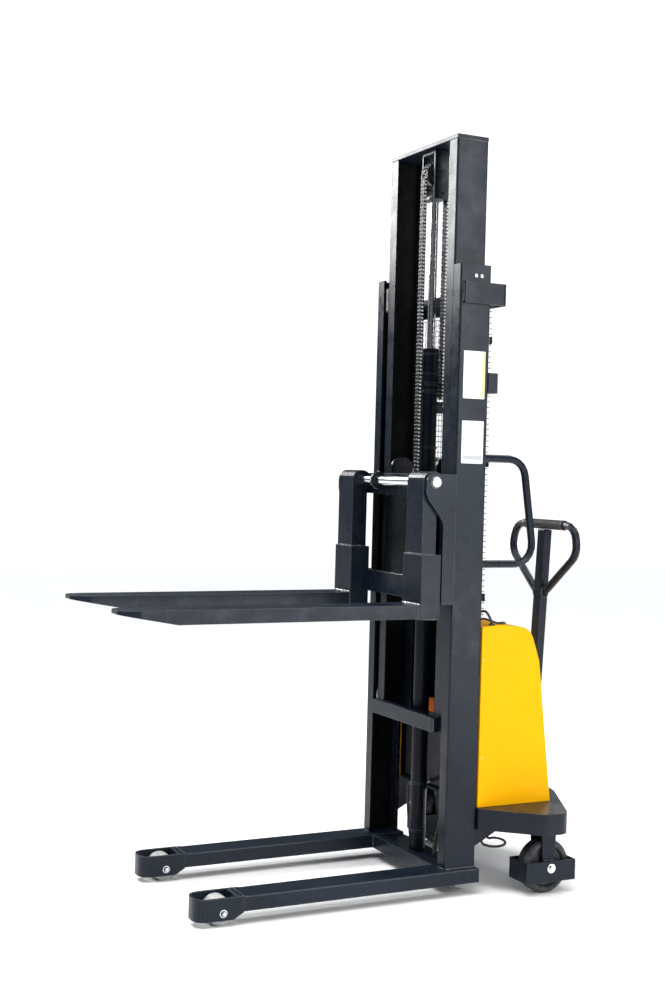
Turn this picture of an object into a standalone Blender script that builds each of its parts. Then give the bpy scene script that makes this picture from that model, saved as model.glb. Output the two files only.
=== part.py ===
"""Walkie stacker: a two-stage mast on straddle legs, with forks, castors and a tiller.

Metres, +Z up. The forks point to -Y and the operator's left is +X. The origin is on the
floor, in the middle of the footprint. The mast stands partly raised, as it is modelled.
"""

import math

import bmesh
import bpy
from mathutils import Matrix, Vector

# ---------------------------------------------------------------- clearances
GAP = 0.0003                 # between pieces that touch
RUNNING_GAP = 0.001          # beside pieces that slide or turn

# ---------------------------------------------------------------- mast
MAST_HEIGHT = 2.080          # top of the outer mast
LIFT_AT_REST = 0.4135        # how far the inner mast stands above its lowest place
LIFT_ABOVE_REST = 0.950      # how much further it can rise
OUTER_WIDTH = 0.572
OUTER_DEPTH = 0.117
OUTER_FLANGE = 0.046
OUTER_WALL = 0.010
OUTER_WEB = 0.008
INNER_SIDE_GAP = 0.0135      # from the outer flanges' edges to the inner mast
INNER_SET_BACK = 0.010       # inner mast's front face behind the outer mast's
INNER_DEPTH = 0.120
INNER_FLANGE = 0.050
INNER_WALL = 0.010
INNER_WEB = 0.008
INNER_LENGTH = 1.985
INNER_FOOT_CLEARANCE = 0.028  # above the legs with the mast down
TOP_PLATE = 0.014
CROSSBAR_HEIGHT = 0.050
CROSSBAR_INSET = 0.018       # crossbar's ends inside the inner mast's width
CROSSBAR_DEPTH = 0.026
CORNER_RADIUS = 0.006        # rolled edges of the channels
EDGE_RADIUS = 0.002          # small bevels
MAST_ROLLER_RISE = 0.060     # mast roller's axle above the inner mast's foot

# ---------------------------------------------------------------- legs and load rollers
LEG_WIDTH = 0.100
LEG_INSET = 0.031            # a leg's centre line inside the outer mast's side
LEG_TOP = 0.088
LEG_HEIGHT = 0.048
LOAD_ROLLER_RADIUS = 0.042
LOAD_ROLLER_WIDTH = 0.070
LOAD_AXLE_REACH = 0.787      # in front of the mast
LOAD_AXLE_RADIUS = 0.009
HOUSING_FRONT_REACH = 0.875
HOUSING_REAR_REACH = 0.720
HOUSING_WALL = 0.008
HOUSING_BOTTOM = 0.020
HOUSING_END_RADIUS = 0.040
HOUSING_LAP = 0.020          # leg beam's length inside the housing
HOUSING_RISE = 0.001         # housing above the leg beam
LOAD_AXLE_PROUD = 0.004      # axle's ends outside the leg
ROLLER_EDGE = 0.003
LEG_REAR = 0.125             # behind the mast's front face
BASE_BEAM_REACH = 0.003      # in front of the mast
BASE_BEAM_CLEARANCE = 0.005  # in front of the lift cylinder
FLOOR_PLATE = 0.012
FLOOR_PLATE_TOP = 0.078

# ---------------------------------------------------------------- lift cylinder and chain
CYLINDER_SET_BACK = 0.060    # axis behind the mast's front face
BARREL_RADIUS = 0.028
BARREL_TOP = 1.690
GLAND_LIP = 0.002            # gland's radius beyond the barrel's
GLAND_TOP = 1.822
ROD_RADIUS = 0.014
ROD_OVERLAP = 0.050          # rod left in the barrel at full height
ROD_FOOT_CLEARANCE = 0.020
SHEAVE_PITCH_RADIUS = 0.045
SHEAVE_FLANGE = 0.006
SHEAVE_FLANGE_WIDTH = 0.004
SHEAVE_DROP = 0.097          # sheave axle below the inner mast's top
SHEAVE_PIN_RADIUS = 0.010
BRACKET_WIDTH = 0.090
BRACKET_DEPTH = 0.056
BRACKET_HEIGHT = 0.168
BRACKET_WALL = 0.008
CHAIN_WIDTH = 0.028
CHAIN_THICKNESS = 0.012
CHAIN_WRAP_STEPS = 18
ANCHOR_TOP = 1.640
ANCHOR_HEIGHT = 0.040

# ---------------------------------------------------------------- carriage and forks
CARRIAGE_OVERHANG = 0.030    # side plates' outer faces beyond the outer mast
SIDE_PLATE = 0.012
SIDE_PLATE_HEIGHT = 0.422
SIDE_PLATE_DEPTH = 0.045
SIDE_PLATE_STAND_OFF = 0.013  # in front of the outer mast
SIDE_PLATE_BOTTOM = 0.140    # above the floor with the mast down
BAR_RADIUS = 0.0158
BAR_STAND_OFF = 0.090        # axis in front of the outer mast
BAR_ABOVE_PLATE = 0.396      # axis above the side plates' bottom
BAR_OVERHANG = 0.005
HUMP_RADIUS = 0.034
BEAM_HEIGHT = 0.072
BEAM_THICKNESS = 0.025
BEAM_STAND_OFF = 0.020
FOOT_PLATE_HEIGHT = 0.075
FOOT_PLATE_RISE = 0.003
ROLLER_BRACKET_INSET = 0.0715  # bracket's middle inside the inner mast's side
ROLLER_BRACKET_PLATE = 0.010
ROLLER_BRACKET_RISE = 0.026  # from the side plates' bottom to the brackets' bottom
ROLLER_BRACKET_HEIGHT = 0.453
CARRIAGE_ROLLER_LOW = 0.078  # roller axles above the side plates' bottom
CARRIAGE_ROLLER_HIGH = 0.420
ROLLER_CHANNEL_GAP = 0.0015  # between a mast roller and each flange
ROLLER_WIDTH = 0.030
STUB_RADIUS = 0.012
FORK_INSET = 0.0675          # fork's middle inside the carriage's side
FORK_LENGTH = 1.007          # blade in front of the shank
BLADE_WIDTH = 0.120
BLADE_THICKNESS = 0.044
BLADE_TIP_THICKNESS = 0.012
BLADE_TAPER = 0.180
FORK_LOWERED_BOTTOM = 0.094  # blade's underside with the mast down
SHANK_WIDTH = 0.107
SHANK_FRONT = 0.128          # in front of the outer mast
SHANK_THICKNESS = 0.050
EYE_RADIUS = 0.034
SLEEVE_WALL = 0.009
SLEEVE_HEIGHT = 0.210
SLEEVE_REAR = 0.060          # in front of the outer mast
COLLAR_X = -0.079
COLLAR_THICKNESS = 0.011
COLLAR_RADIUS = 0.030

# ---------------------------------------------------------------- platform and cover
PLATFORM_DEPTH = 0.070
PLATFORM_SHEET = 0.006
PLATFORM_FRONT_OVERHANG = 0.014  # beyond the mast's sides at the front
PLATFORM_OVERHANG = 0.165    # beyond the mast's sides over the castors
PLATFORM_CORNER_RADIUS = 0.045
PLATFORM_NOSE = 0.565        # behind the mast's front face
GUSSET_THICKNESS = 0.008
GUSSET_INSET = 0.024         # inner face inside the mast's side
GUSSET_DROP = 0.065          # below the platform
GUSSET_LENGTH = 0.125
BOSS_RADIUS = 0.040
COVER_HEIGHT = 0.607
COVER_FRONT = 0.1215
COVER_FOOT_REAR = 0.412
COVER_SHOULDER_REAR = 0.352
COVER_SHOULDER_RISE = 0.480  # lower end of the rounded shoulder above the platform
COVER_SHEET = 0.003
COVER_EDGE_RADIUS = 0.010

# ---------------------------------------------------------------- castors
CASTOR_OUTSET = 0.062        # wheel's middle beyond the mast's side
CASTOR_Y = 0.345
CASTOR_RADIUS = 0.090
CASTOR_WIDTH = 0.050
CASTOR_CHEEK = 0.006
CASTOR_CHEEK_GAP = 0.004
CASTOR_CROWN_HEIGHT = 0.012
CASTOR_HEADROOM = 0.023      # between the wheel and the crown
CASTOR_TREAD = 0.020
CASTOR_AXLE_RADIUS = 0.008
CASTOR_CHEEK_TOP_WIDTH = 0.056
CASTOR_CHEEK_FOOT_WIDTH = 0.044
GUARD_WIDTH = 0.104
GUARD_CLEARANCE = 0.007      # in front of the wheel and behind it
GUARD_HEIGHT = 0.068
GUARD_WALL = 0.004
GUARD_BOTTOM = 0.045

# ---------------------------------------------------------------- handles and tiller
TUBE_RADIUS = 0.013
HANDLE_INSET = 0.024         # tube's axis inside the mast's side
HANDLE_TOP = 1.446
HANDLE_BOTTOM = 1.094
HANDLE_REACH_TOP = 0.280
HANDLE_REACH_BOTTOM = 0.334
HANDLE_BEND = 0.065
TILLER_Y = 0.520
TILLER_LEAN = 2.7            # degrees back from upright
TILLER_PIVOT_RISE = 0.057    # above the platform
TILLER_TUBE_X = 0.044
TILLER_TUBE_Y = 0.034
TILLER_FOOT = 0.024          # pole's foot below its pivot
LOOP_TOP = 0.878             # top bar's axis above the pivot
LOOP_HALF_WIDTH = 0.202
LOOP_SHOULDER = 0.100
LOOP_SHOULDER_INSET = 0.020
LOOP_BEND = 0.060
LOOP_APEX = 0.612            # corner of the V above the pivot
LOOP_TUBE_RADIUS = 0.014
GRIP_RADIUS = 0.018
GRIP_HALF_LENGTH = 0.120
TURRET_RADIUS = 0.040
TURRET_HEIGHT = 0.018
TILLER_PIN_RADIUS = 0.008

# ---------------------------------------------------------------- rear of the mast
STRAP_TOP = 2.022
STRAP_HEIGHT = 0.071
STRAP_WALL = 0.010
STRAP_FRONT = 0.012
STRAP_REAR = 0.176
REAR_BAR_TOP = 1.728
REAR_BAR_HEIGHT = 0.067
REAR_BAR_REAR = 0.153
REAR_BAR_WALL = 0.014
STRAP_BEND = 0.014
MESH_CLEARANCE = 0.028       # above the cover
MESH_TOP = 1.940
MESH_THICKNESS = 0.004
MESH_INSET = 0.046           # mesh's edge inside the mast's side
PAD_HEIGHT = 0.080
PAD_TOP = 2.050

# ---------------------------------------------------------------- power unit
BATTERY_SIZE = (0.300, 0.170, 0.258)
BATTERY_CENTRE_X = -0.110
MOTOR_RADIUS = 0.050
MOTOR_HEIGHT = 0.190
MOTOR_X = 0.190
MOTOR_Y = 0.230
PUMP_BLOCK = (0.110, 0.110, 0.060)
TANK_SIZE = (0.150, 0.150, 0.190)
INSIDE_SETBACK = 0.150       # front of the battery behind the mast's front face
HOSE_RADIUS = 0.008
CABLE_RADIUS = 0.006
HOSE_PORT_RISE = 0.035       # where the hose leaves the cylinder, above the platform
CONNECTOR_SIZE = (0.040, 0.030, 0.048)
CONNECTOR_X = -0.087
STOP_RISE = 0.315            # emergency stop and lever, above the platform
LEVER_RISE = 0.405
STOP_X = -0.120
LEVER_X = 0.100
STOP_TRAVEL = 0.004
STOP_STEM_RADIUS = 0.007
STOP_HEAD_RADIUS = 0.019
LEVER_HUB_RADIUS = 0.016
LEVER_LENGTH = 0.060

ROUND = 32                   # sides of the larger round pieces
SMALL_ROUND = 20

# ---------------------------------------------------------------- derived places
TILLER_LEAN_ANGLE = math.radians(TILLER_LEAN)
FRONT_REACH = SHANK_FRONT + FORK_LENGTH
REAR_REACH = TILLER_Y + LOOP_TOP * math.sin(TILLER_LEAN_ANGLE) + GRIP_RADIUS
MAST_Y = (FRONT_REACH - REAR_REACH) / 2
OUTER_HALF = OUTER_WIDTH / 2
INNER_HALF = OUTER_HALF - OUTER_FLANGE - INNER_SIDE_GAP
CROSSBAR_HALF_LENGTH = INNER_HALF - CROSSBAR_INSET
CARRIAGE_HALF_WIDTH = OUTER_HALF + CARRIAGE_OVERHANG
ROLLER_BRACKET_X = INNER_HALF - ROLLER_BRACKET_INSET
FORK_CENTRE = CARRIAGE_HALF_WIDTH - FORK_INSET
LEG_HALF_TRACK = OUTER_HALF - LEG_INSET
HANDLE_X = OUTER_HALF - HANDLE_INSET
MESH_HALF_WIDTH = OUTER_HALF - MESH_INSET
PLATFORM_HALF_FRONT = OUTER_HALF + PLATFORM_FRONT_OVERHANG
PLATFORM_HALF_WIDTH = OUTER_HALF + PLATFORM_OVERHANG
GUSSET_X = OUTER_HALF - GUSSET_INSET
CASTOR_X = OUTER_HALF + CASTOR_OUTSET
PLATFORM_BOTTOM = 2 * CASTOR_RADIUS + CASTOR_HEADROOM + CASTOR_CROWN_HEIGHT
PLATFORM_TOP = PLATFORM_BOTTOM + PLATFORM_DEPTH
TILLER_PIVOT_HEIGHT = PLATFORM_TOP + TILLER_PIVOT_RISE
TILLER_HEIGHT = LOOP_TOP - GRIP_RADIUS - GAP
MESH_BOTTOM = PLATFORM_TOP + COVER_HEIGHT + MESH_CLEARANCE
INNER_Y = MAST_Y + INNER_SET_BACK
INNER_MIDDLE_Y = INNER_Y + INNER_DEPTH / 2
OUTER_MIDDLE_Y = MAST_Y + OUTER_DEPTH / 2
INNER_BOTTOM = LEG_TOP + INNER_FOOT_CLEARANCE + LIFT_AT_REST
INNER_TOP = INNER_BOTTOM + INNER_LENGTH
CYLINDER_Y = MAST_Y + CYLINDER_SET_BACK
SHEAVE_Z = INNER_TOP - SHEAVE_DROP
CHAIN_INNER_RADIUS = SHEAVE_PITCH_RADIUS - CHAIN_THICKNESS / 2
PLATE_BOTTOM = SIDE_PLATE_BOTTOM + 2 * LIFT_AT_REST
PLATE_TOP = PLATE_BOTTOM + SIDE_PLATE_HEIGHT
BAR_Y = MAST_Y - BAR_STAND_OFF
BAR_Z = PLATE_BOTTOM + BAR_ABOVE_PLATE
BLADE_BOTTOM = FORK_LOWERED_BOTTOM + 2 * LIFT_AT_REST
BLADE_TOP = BLADE_BOTTOM + BLADE_THICKNESS
BEAM_REAR = MAST_Y - BEAM_STAND_OFF
BEAM_HALF = CARRIAGE_HALF_WIDTH - SIDE_PLATE - GAP
LEG_INNER = LEG_HALF_TRACK - LEG_WIDTH / 2
LOAD_AXLE_Y = MAST_Y - LOAD_AXLE_REACH
PLATFORM_FRONT = MAST_Y + OUTER_DEPTH + GAP
CASTOR_AXIS_Y = MAST_Y + CASTOR_Y
MAST_OPENING = OUTER_HALF - OUTER_FLANGE
MAST_OPENING_REAR = max(INNER_Y + INNER_DEPTH + 2 * RUNNING_GAP,
                        MAST_Y + COVER_FRONT + 2 * COVER_SHEET)
TILLER_AXIS_Y = MAST_Y + TILLER_Y

CUTTERS = "cutters"
MODEL = "walkie_stacker"


# ---------------------------------------------------------------- scene and materials
def clear_scene():
    for obj in list(bpy.data.objects):
        bpy.data.objects.remove(obj, do_unlink=True)


def collection(name):
    group = bpy.data.collections.get(name)
    if group is None:
        group = bpy.data.collections.new(name)
        bpy.context.scene.collection.children.link(group)
    return group


def material(name, colour, roughness, metallic):
    mat = bpy.data.materials.new(name)
    mat.use_nodes = True
    shader = mat.node_tree.nodes["Principled BSDF"]
    shader.inputs["Base Color"].default_value = (*colour, 1.0)
    shader.inputs["Roughness"].default_value = roughness
    shader.inputs["Metallic"].default_value = metallic
    return mat


def make_materials():
    return {
        "frame": ((0.035, 0.040, 0.048), 0.42, 0.2),
        "cover": ((0.95, 0.66, 0.01), 0.40, 0.0),
        "chrome": ((0.80, 0.80, 0.82), 0.12, 1.0),
        "zinc": ((0.70, 0.71, 0.72), 0.35, 1.0),
        "nylon": ((0.62, 0.62, 0.60), 0.55, 0.0),
        "rubber": ((0.05, 0.05, 0.052), 0.80, 0.0),
        "steel": ((0.45, 0.46, 0.47), 0.35, 1.0),
        "battery": ((0.06, 0.06, 0.065), 0.60, 0.0),
        "connector": ((0.75, 0.25, 0.05), 0.50, 0.0),
        "red": ((0.70, 0.02, 0.02), 0.35, 0.0),
    }


# ---------------------------------------------------------------- shapes
def place(obj, name, finish, smooth=True, group=MODEL):
    """Name an object, give it its finish and put it in its collection."""
    obj.name = name
    obj.data.name = name
    for owner in list(obj.users_collection):
        owner.objects.unlink(obj)
    collection(group).objects.link(obj)
    if finish is not None:
        key = f"{name}_{finish}"
        colour, roughness, metallic = make_materials()[finish]
        obj.data.materials.clear()
        obj.data.materials.append(material(key, colour, roughness, metallic))
    if smooth:
        obj.data.shade_smooth()
        obj.data.set_sharp_from_angle(angle=math.radians(30))
    return obj


def from_bmesh(bm, name):
    mesh = bpy.data.meshes.new(name)
    bm.to_mesh(mesh)
    bm.free()
    obj = bpy.data.objects.new(name, mesh)
    bpy.context.scene.collection.objects.link(obj)
    return obj


def box(name, xs, ys, zs, finish="frame", bevel=0.0):
    """A block between two values on each axis, with its edges bevelled if asked."""
    bm = bmesh.new()
    bmesh.ops.create_cube(bm, size=1.0)
    size = (xs[1] - xs[0], ys[1] - ys[0], zs[1] - zs[0])
    middle = ((xs[0] + xs[1]) / 2, (ys[0] + ys[1]) / 2, (zs[0] + zs[1]) / 2)
    bmesh.ops.scale(bm, vec=size, verts=bm.verts)
    bmesh.ops.translate(bm, vec=middle, verts=bm.verts)
    obj = from_bmesh(bm, name)
    if bevel > 0:
        edge = obj.modifiers.new("edges", "BEVEL")
        edge.width = bevel
        edge.segments = 2
    return place(obj, name, finish)


AXIS_TURN = {
    "X": Matrix.Rotation(math.radians(90), 4, "Y"),
    "Y": Matrix.Rotation(math.radians(-90), 4, "X"),
    "Z": Matrix.Identity(4),
}


def cylinder(name, centre, axis, radius, length, finish="frame", sides=ROUND, radius2=None):
    """A round bar along an axis, centred on a point. radius2 is its radius at the far end."""
    bm = bmesh.new()
    far = radius if radius2 is None else radius2
    bmesh.ops.create_cone(bm, cap_ends=True, segments=sides, radius1=radius, radius2=far,
                          depth=length)
    bmesh.ops.transform(bm, matrix=Matrix.Translation(centre) @ AXIS_TURN[axis], verts=bm.verts)
    return place(from_bmesh(bm, name), name, finish)


def turned(name, profile, centre, axis, finish, sides=ROUND):
    """A ring: a closed (radius, height) loop, turned about an axis through a point."""
    mesh = bpy.data.meshes.new(name)
    points = [(radius, 0.0, height) for radius, height in reversed(profile)]
    count = len(points)
    mesh.from_pydata(points, [(i, (i + 1) % count) for i in range(count)], [])
    obj = bpy.data.objects.new(name, mesh)
    bpy.context.scene.collection.objects.link(obj)
    screw = obj.modifiers.new("turn", "SCREW")
    screw.steps = sides
    screw.render_steps = sides
    screw.use_merge_vertices = True
    screw.merge_threshold = 0.00001
    bpy.context.view_layer.update()
    solid = bpy.data.meshes.new_from_object(obj.evaluated_get(bpy.context.evaluated_depsgraph_get()))
    bpy.data.objects.remove(obj, do_unlink=True)
    solid.transform(Matrix.Translation(centre) @ AXIS_TURN[axis])
    piece = bpy.data.objects.new(name, solid)
    bpy.context.scene.collection.objects.link(piece)
    return place(piece, name, finish)


def arc(centre_u, centre_v, radius, start, end, steps):
    """Points of an arc, with its angles in degrees."""
    points = []
    for i in range(steps + 1):
        angle = math.radians(start + (end - start) * i / steps)
        points.append((centre_u + radius * math.cos(angle), centre_v + radius * math.sin(angle)))
    return points


def rounded_outline(corners, steps=5):
    """A closed outline whose corners (u, v, radius) are rounded."""
    outline = []
    count = len(corners)
    for i, (u, v, radius) in enumerate(corners):
        corner = Vector((u, v))
        if radius <= 0:
            outline.append((u, v))
            continue
        back = (Vector(corners[i - 1][:2]) - corner).normalized()
        ahead = (Vector(corners[(i + 1) % count][:2]) - corner).normalized()
        half = back.angle(ahead) / 2
        reach = radius / math.tan(half)
        centre = corner + (back + ahead).normalized() * radius / math.sin(half)
        first = corner + back * reach - centre
        turn = first.angle_signed(corner + ahead * reach - centre)
        for k in range(steps + 1):
            spoke = first.copy()
            spoke.rotate(Matrix.Rotation(-turn * k / steps, 2))
            outline.append(tuple(centre + spoke))
    return outline


PLANES = {
    "XY": Matrix(((1, 0, 0, 0), (0, 1, 0, 0), (0, 0, 1, 0), (0, 0, 0, 1))),
    "YZ": Matrix(((0, 0, 1, 0), (1, 0, 0, 0), (0, 1, 0, 0), (0, 0, 0, 1))),
    "XZ": Matrix(((1, 0, 0, 0), (0, 0, -1, 0), (0, 1, 0, 0), (0, 0, 0, 1))),
}


def solid_from_curve(curve_obj, name, finish):
    """Turn a curve into one welded mesh where the curve stands."""
    bpy.context.view_layer.update()
    graph = bpy.context.evaluated_depsgraph_get()
    mesh = bpy.data.meshes.new_from_object(curve_obj.evaluated_get(graph))
    mesh.transform(curve_obj.matrix_world)
    bpy.data.objects.remove(curve_obj, do_unlink=True)
    bm = bmesh.new()
    bm.from_mesh(mesh)
    bmesh.ops.remove_doubles(bm, verts=bm.verts, dist=0.00001)
    bmesh.ops.recalc_face_normals(bm, faces=bm.faces)
    bm.to_mesh(mesh)
    bm.free()
    obj = bpy.data.objects.new(name, mesh)
    bpy.context.scene.collection.objects.link(obj)
    return place(obj, name, finish)


def slab(name, outline, plane, low, high, finish="frame"):
    """A flat outline in a plane, extruded between two values across that plane."""
    curve = bpy.data.curves.new(name, "CURVE")
    curve.dimensions = "2D"
    curve.fill_mode = "BOTH"
    curve.extrude = (high - low) / 2
    spline = curve.splines.new("POLY")
    spline.points.add(len(outline) - 1)
    for point, (u, v) in zip(spline.points, outline):
        point.co = (u, v, 0.0, 1.0)
    spline.use_cyclic_u = True
    obj = bpy.data.objects.new(name, curve)
    bpy.context.scene.collection.objects.link(obj)
    across = Vector((0, 0, (low + high) / 2))
    if plane == "XZ":
        across.negate()
    obj.matrix_world = PLANES[plane] @ Matrix.Translation(across)
    return solid_from_curve(obj, name, finish)


def bent_path(corners, radius, steps=5):
    """Points along straight runs through the corners, with each bend rounded."""
    points = [Vector(corners[0])]
    for before, corner, after in zip(corners, corners[1:], corners[2:]):
        corner = Vector(corner)
        back = (Vector(before) - corner).normalized()
        ahead = (Vector(after) - corner).normalized()
        half = back.angle(ahead) / 2
        reach = radius / math.tan(half)
        centre = corner + (back + ahead).normalized() * radius / math.sin(half)
        start = (corner + back * reach - centre).normalized()
        end = (corner + ahead * reach - centre).normalized()
        for k in range(steps + 1):
            points.append(centre + start.slerp(end, k / steps) * radius)
    points.append(Vector(corners[-1]))
    return points


def tube(name, points, radius, finish="frame", cyclic=False, sides=2):
    """A round tube along a path. sides is the curve's bevel resolution."""
    curve = bpy.data.curves.new(name, "CURVE")
    curve.dimensions = "3D"
    curve.bevel_depth = radius
    curve.bevel_resolution = sides
    curve.use_fill_caps = not cyclic
    spline = curve.splines.new("POLY")
    spline.points.add(len(points) - 1)
    for point, co in zip(spline.points, points):
        point.co = (*co, 1.0)
    spline.use_cyclic_u = cyclic
    obj = bpy.data.objects.new(name, curve)
    bpy.context.scene.collection.objects.link(obj)
    return solid_from_curve(obj, name, finish)


def combine(target, operation, *tools):
    """Join, cut or intersect a piece with others, which become hidden tools."""
    for tool in tools:
        step = target.modifiers.new(tool.name, "BOOLEAN")
        step.operation = operation
        step.solver = "EXACT"
        step.object = tool
        for owner in list(tool.users_collection):
            owner.objects.unlink(tool)
        collection(CUTTERS).objects.link(tool)
        tool.hide_render = True
        tool.display_type = "WIRE"
    return target


def join(target, *tools):
    return combine(target, "UNION", *tools)


def cut(target, *tools):
    return combine(target, "DIFFERENCE", *tools)


def span(centre, width):
    return (centre - width / 2, centre + width / 2)


def sided(side, inner, outer):
    """The X range between two distances from the middle, on one side."""
    return tuple(sorted((side * inner, side * outer)))


def mirrored(side, outline):
    """An outline drawn for +X, moved to the side asked for."""
    return [(side * u, v) for u, v in outline]


SIDES = (("left", 1), ("right", -1))


# ---------------------------------------------------------------- mast
def channel_outline(outer, flange, web, wall, front, rear):
    """Section of a channel that opens towards the middle, with its outer corners rounded."""
    return rounded_outline([
        (outer, front, CORNER_RADIUS),
        (outer, rear, CORNER_RADIUS),
        (outer - flange, rear, 0),
        (outer - flange, rear - wall, 0),
        (outer - web, rear - wall, 0),
        (outer - web, front + wall, 0),
        (outer - flange, front + wall, 0),
        (outer - flange, front, 0),
    ], steps=3)


def mast_roller_height():
    return INNER_BOTTOM + MAST_ROLLER_RISE


def outer_mast():
    section = channel_outline(OUTER_HALF, OUTER_FLANGE, OUTER_WEB, OUTER_WALL,
                              MAST_Y, MAST_Y + OUTER_DEPTH)
    for word, side in SIDES:
        slab(f"outer_upright_{word}", mirrored(side, section), "XY", LEG_TOP + GAP, MAST_HEIGHT)
        box(f"guide_pad_{word}", sided(side, INNER_HALF + GAP, OUTER_HALF - OUTER_WEB - GAP),
            (MAST_Y + OUTER_WALL + GAP, MAST_Y + OUTER_DEPTH - OUTER_WALL - GAP),
            (PAD_TOP - PAD_HEIGHT, PAD_TOP), "nylon")


def rear_straps():
    wide = OUTER_HALF + GAP + STRAP_WALL
    inner = OUTER_HALF + GAP
    front = MAST_Y + STRAP_FRONT
    rear = MAST_Y + STRAP_REAR
    outline = rounded_outline([
        (-wide, front, 0), (-wide, rear, STRAP_BEND), (wide, rear, STRAP_BEND), (wide, front, 0),
        (inner, front, 0), (inner, rear - STRAP_WALL, STRAP_BEND - STRAP_WALL),
        (-inner, rear - STRAP_WALL, STRAP_BEND - STRAP_WALL), (-inner, front, 0),
    ], steps=3)
    slab("top_strap", outline, "XY", STRAP_TOP - STRAP_HEIGHT, STRAP_TOP)
    bar_rear = MAST_Y + REAR_BAR_REAR
    bar_front = bar_rear - REAR_BAR_WALL
    foot = MAST_Y + OUTER_DEPTH + GAP
    foot_inner = MESH_HALF_WIDTH + GAP
    outline = [
        (-OUTER_HALF, foot), (-foot_inner, foot), (-foot_inner, bar_front),
        (foot_inner, bar_front), (foot_inner, foot), (OUTER_HALF, foot),
        (OUTER_HALF, bar_rear), (-OUTER_HALF, bar_rear),
    ]
    slab("rear_crossbar", outline, "XY", REAR_BAR_TOP - REAR_BAR_HEIGHT, REAR_BAR_TOP)
    box("mesh_guard", (-MESH_HALF_WIDTH, MESH_HALF_WIDTH),
        (bar_rear + GAP, bar_rear + GAP + MESH_THICKNESS), (MESH_BOTTOM, MESH_TOP), "zinc")


def inner_mast():
    section = channel_outline(INNER_HALF, INNER_FLANGE, INNER_WEB, INNER_WALL,
                              INNER_Y, INNER_Y + INNER_DEPTH)
    top = INNER_TOP - TOP_PLATE - GAP
    for word, side in SIDES:
        upright = slab(f"inner_upright_{word}", mirrored(side, section), "XY", INNER_BOTTOM, top)
        near = INNER_HALF - INNER_WEB / 2
        far = OUTER_HALF - OUTER_WEB - RUNNING_GAP
        stub = cylinder(f"mast_roller_stub_{word}",
                        (side * (near + far) / 2, OUTER_MIDDLE_Y, mast_roller_height()),
                        "X", STUB_RADIUS, far - near, sides=SMALL_ROUND)
        join(upright, stub)
        roller_ring(f"mast_roller_{word}", side, INNER_HALF + 0.006, OUTER_MIDDLE_Y,
                    mast_roller_height(), OUTER_DEPTH / 2 - OUTER_WALL - ROLLER_CHANNEL_GAP)
    box("inner_top_plate", (-INNER_HALF, INNER_HALF), (INNER_Y, INNER_Y + INNER_DEPTH),
        (INNER_TOP - TOP_PLATE, INNER_TOP), bevel=EDGE_RADIUS)
    box("inner_crossbar", (-CROSSBAR_HALF_LENGTH, CROSSBAR_HALF_LENGTH),
        (INNER_Y - GAP - CROSSBAR_DEPTH, INNER_Y - GAP),
        (INNER_BOTTOM, INNER_BOTTOM + CROSSBAR_HEIGHT), bevel=EDGE_RADIUS)


def roller_profile(bore, radius, half):
    """Half section of a roller with bevelled edges."""
    edge = ROLLER_EDGE
    return [(bore, half), (bore, -half), (radius - edge, -half), (radius, edge - half),
            (radius, half - edge), (radius - edge, half)]


def roller_ring(name, side, inner_face, y, z, radius):
    """A steel roller with rounded edges on its stub, from an inner face outwards."""
    bore = STUB_RADIUS + GAP
    half = ROLLER_WIDTH / 2
    profile = roller_profile(bore, radius, half)
    turned(name, profile, (side * (inner_face + half), y, z), "X", "steel", sides=24)


# ---------------------------------------------------------------- legs and base
def leg(word, side):
    middle = side * LEG_HALF_TRACK
    half = LEG_WIDTH / 2
    front = MAST_Y - HOUSING_FRONT_REACH
    rear = MAST_Y - HOUSING_REAR_REACH
    beam = box(f"leg_{word}", span(middle, LEG_WIDTH - 2 * GAP),
               (rear - HOUSING_LAP, MAST_Y + LEG_REAR), (LEG_TOP - LEG_HEIGHT, LEG_TOP),
               bevel=2 * EDGE_RADIUS)
    round_end = HOUSING_END_RADIUS
    strap_outline = rounded_outline([
        (middle - half, rear, 0), (middle - half, front, round_end),
        (middle + half, front, round_end), (middle + half, rear, 0),
        (middle + half - HOUSING_WALL, rear, 0),
        (middle + half - HOUSING_WALL, front + HOUSING_WALL, round_end - HOUSING_WALL),
        (middle - half + HOUSING_WALL, front + HOUSING_WALL, round_end - HOUSING_WALL),
        (middle - half + HOUSING_WALL, rear, 0),
    ])
    strap = slab(f"leg_strap_{word}", strap_outline, "XY", HOUSING_BOTTOM, LEG_TOP + HOUSING_RISE)
    slope_front = LOAD_AXLE_Y + 0.030
    clear = 0.010
    under_leg = LEG_TOP - LEG_HEIGHT - EDGE_RADIUS
    slope = slab(f"leg_strap_slope_{word}", [
        (slope_front, HOUSING_BOTTOM - clear),
        (rear + clear, HOUSING_BOTTOM - clear),
        (rear + clear, under_leg),
        (rear - EDGE_RADIUS, under_leg),
        (slope_front, HOUSING_BOTTOM - EDGE_RADIUS),
    ], "YZ", middle - LEG_WIDTH, middle + LEG_WIDTH)
    cut(strap, slope)
    axle_reach = half + LOAD_AXLE_PROUD
    axle = cylinder(f"load_axle_{word}", (middle, LOAD_AXLE_Y, LOAD_ROLLER_RADIUS), "X",
                    LOAD_AXLE_RADIUS, 2 * axle_reach, sides=SMALL_ROUND)
    join(beam, strap, axle)
    profile = roller_profile(LOAD_AXLE_RADIUS + GAP, LOAD_ROLLER_RADIUS, LOAD_ROLLER_WIDTH / 2)
    turned(f"load_roller_{word}", profile, (middle, LOAD_AXLE_Y, LOAD_ROLLER_RADIUS), "X",
           "nylon")


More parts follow.
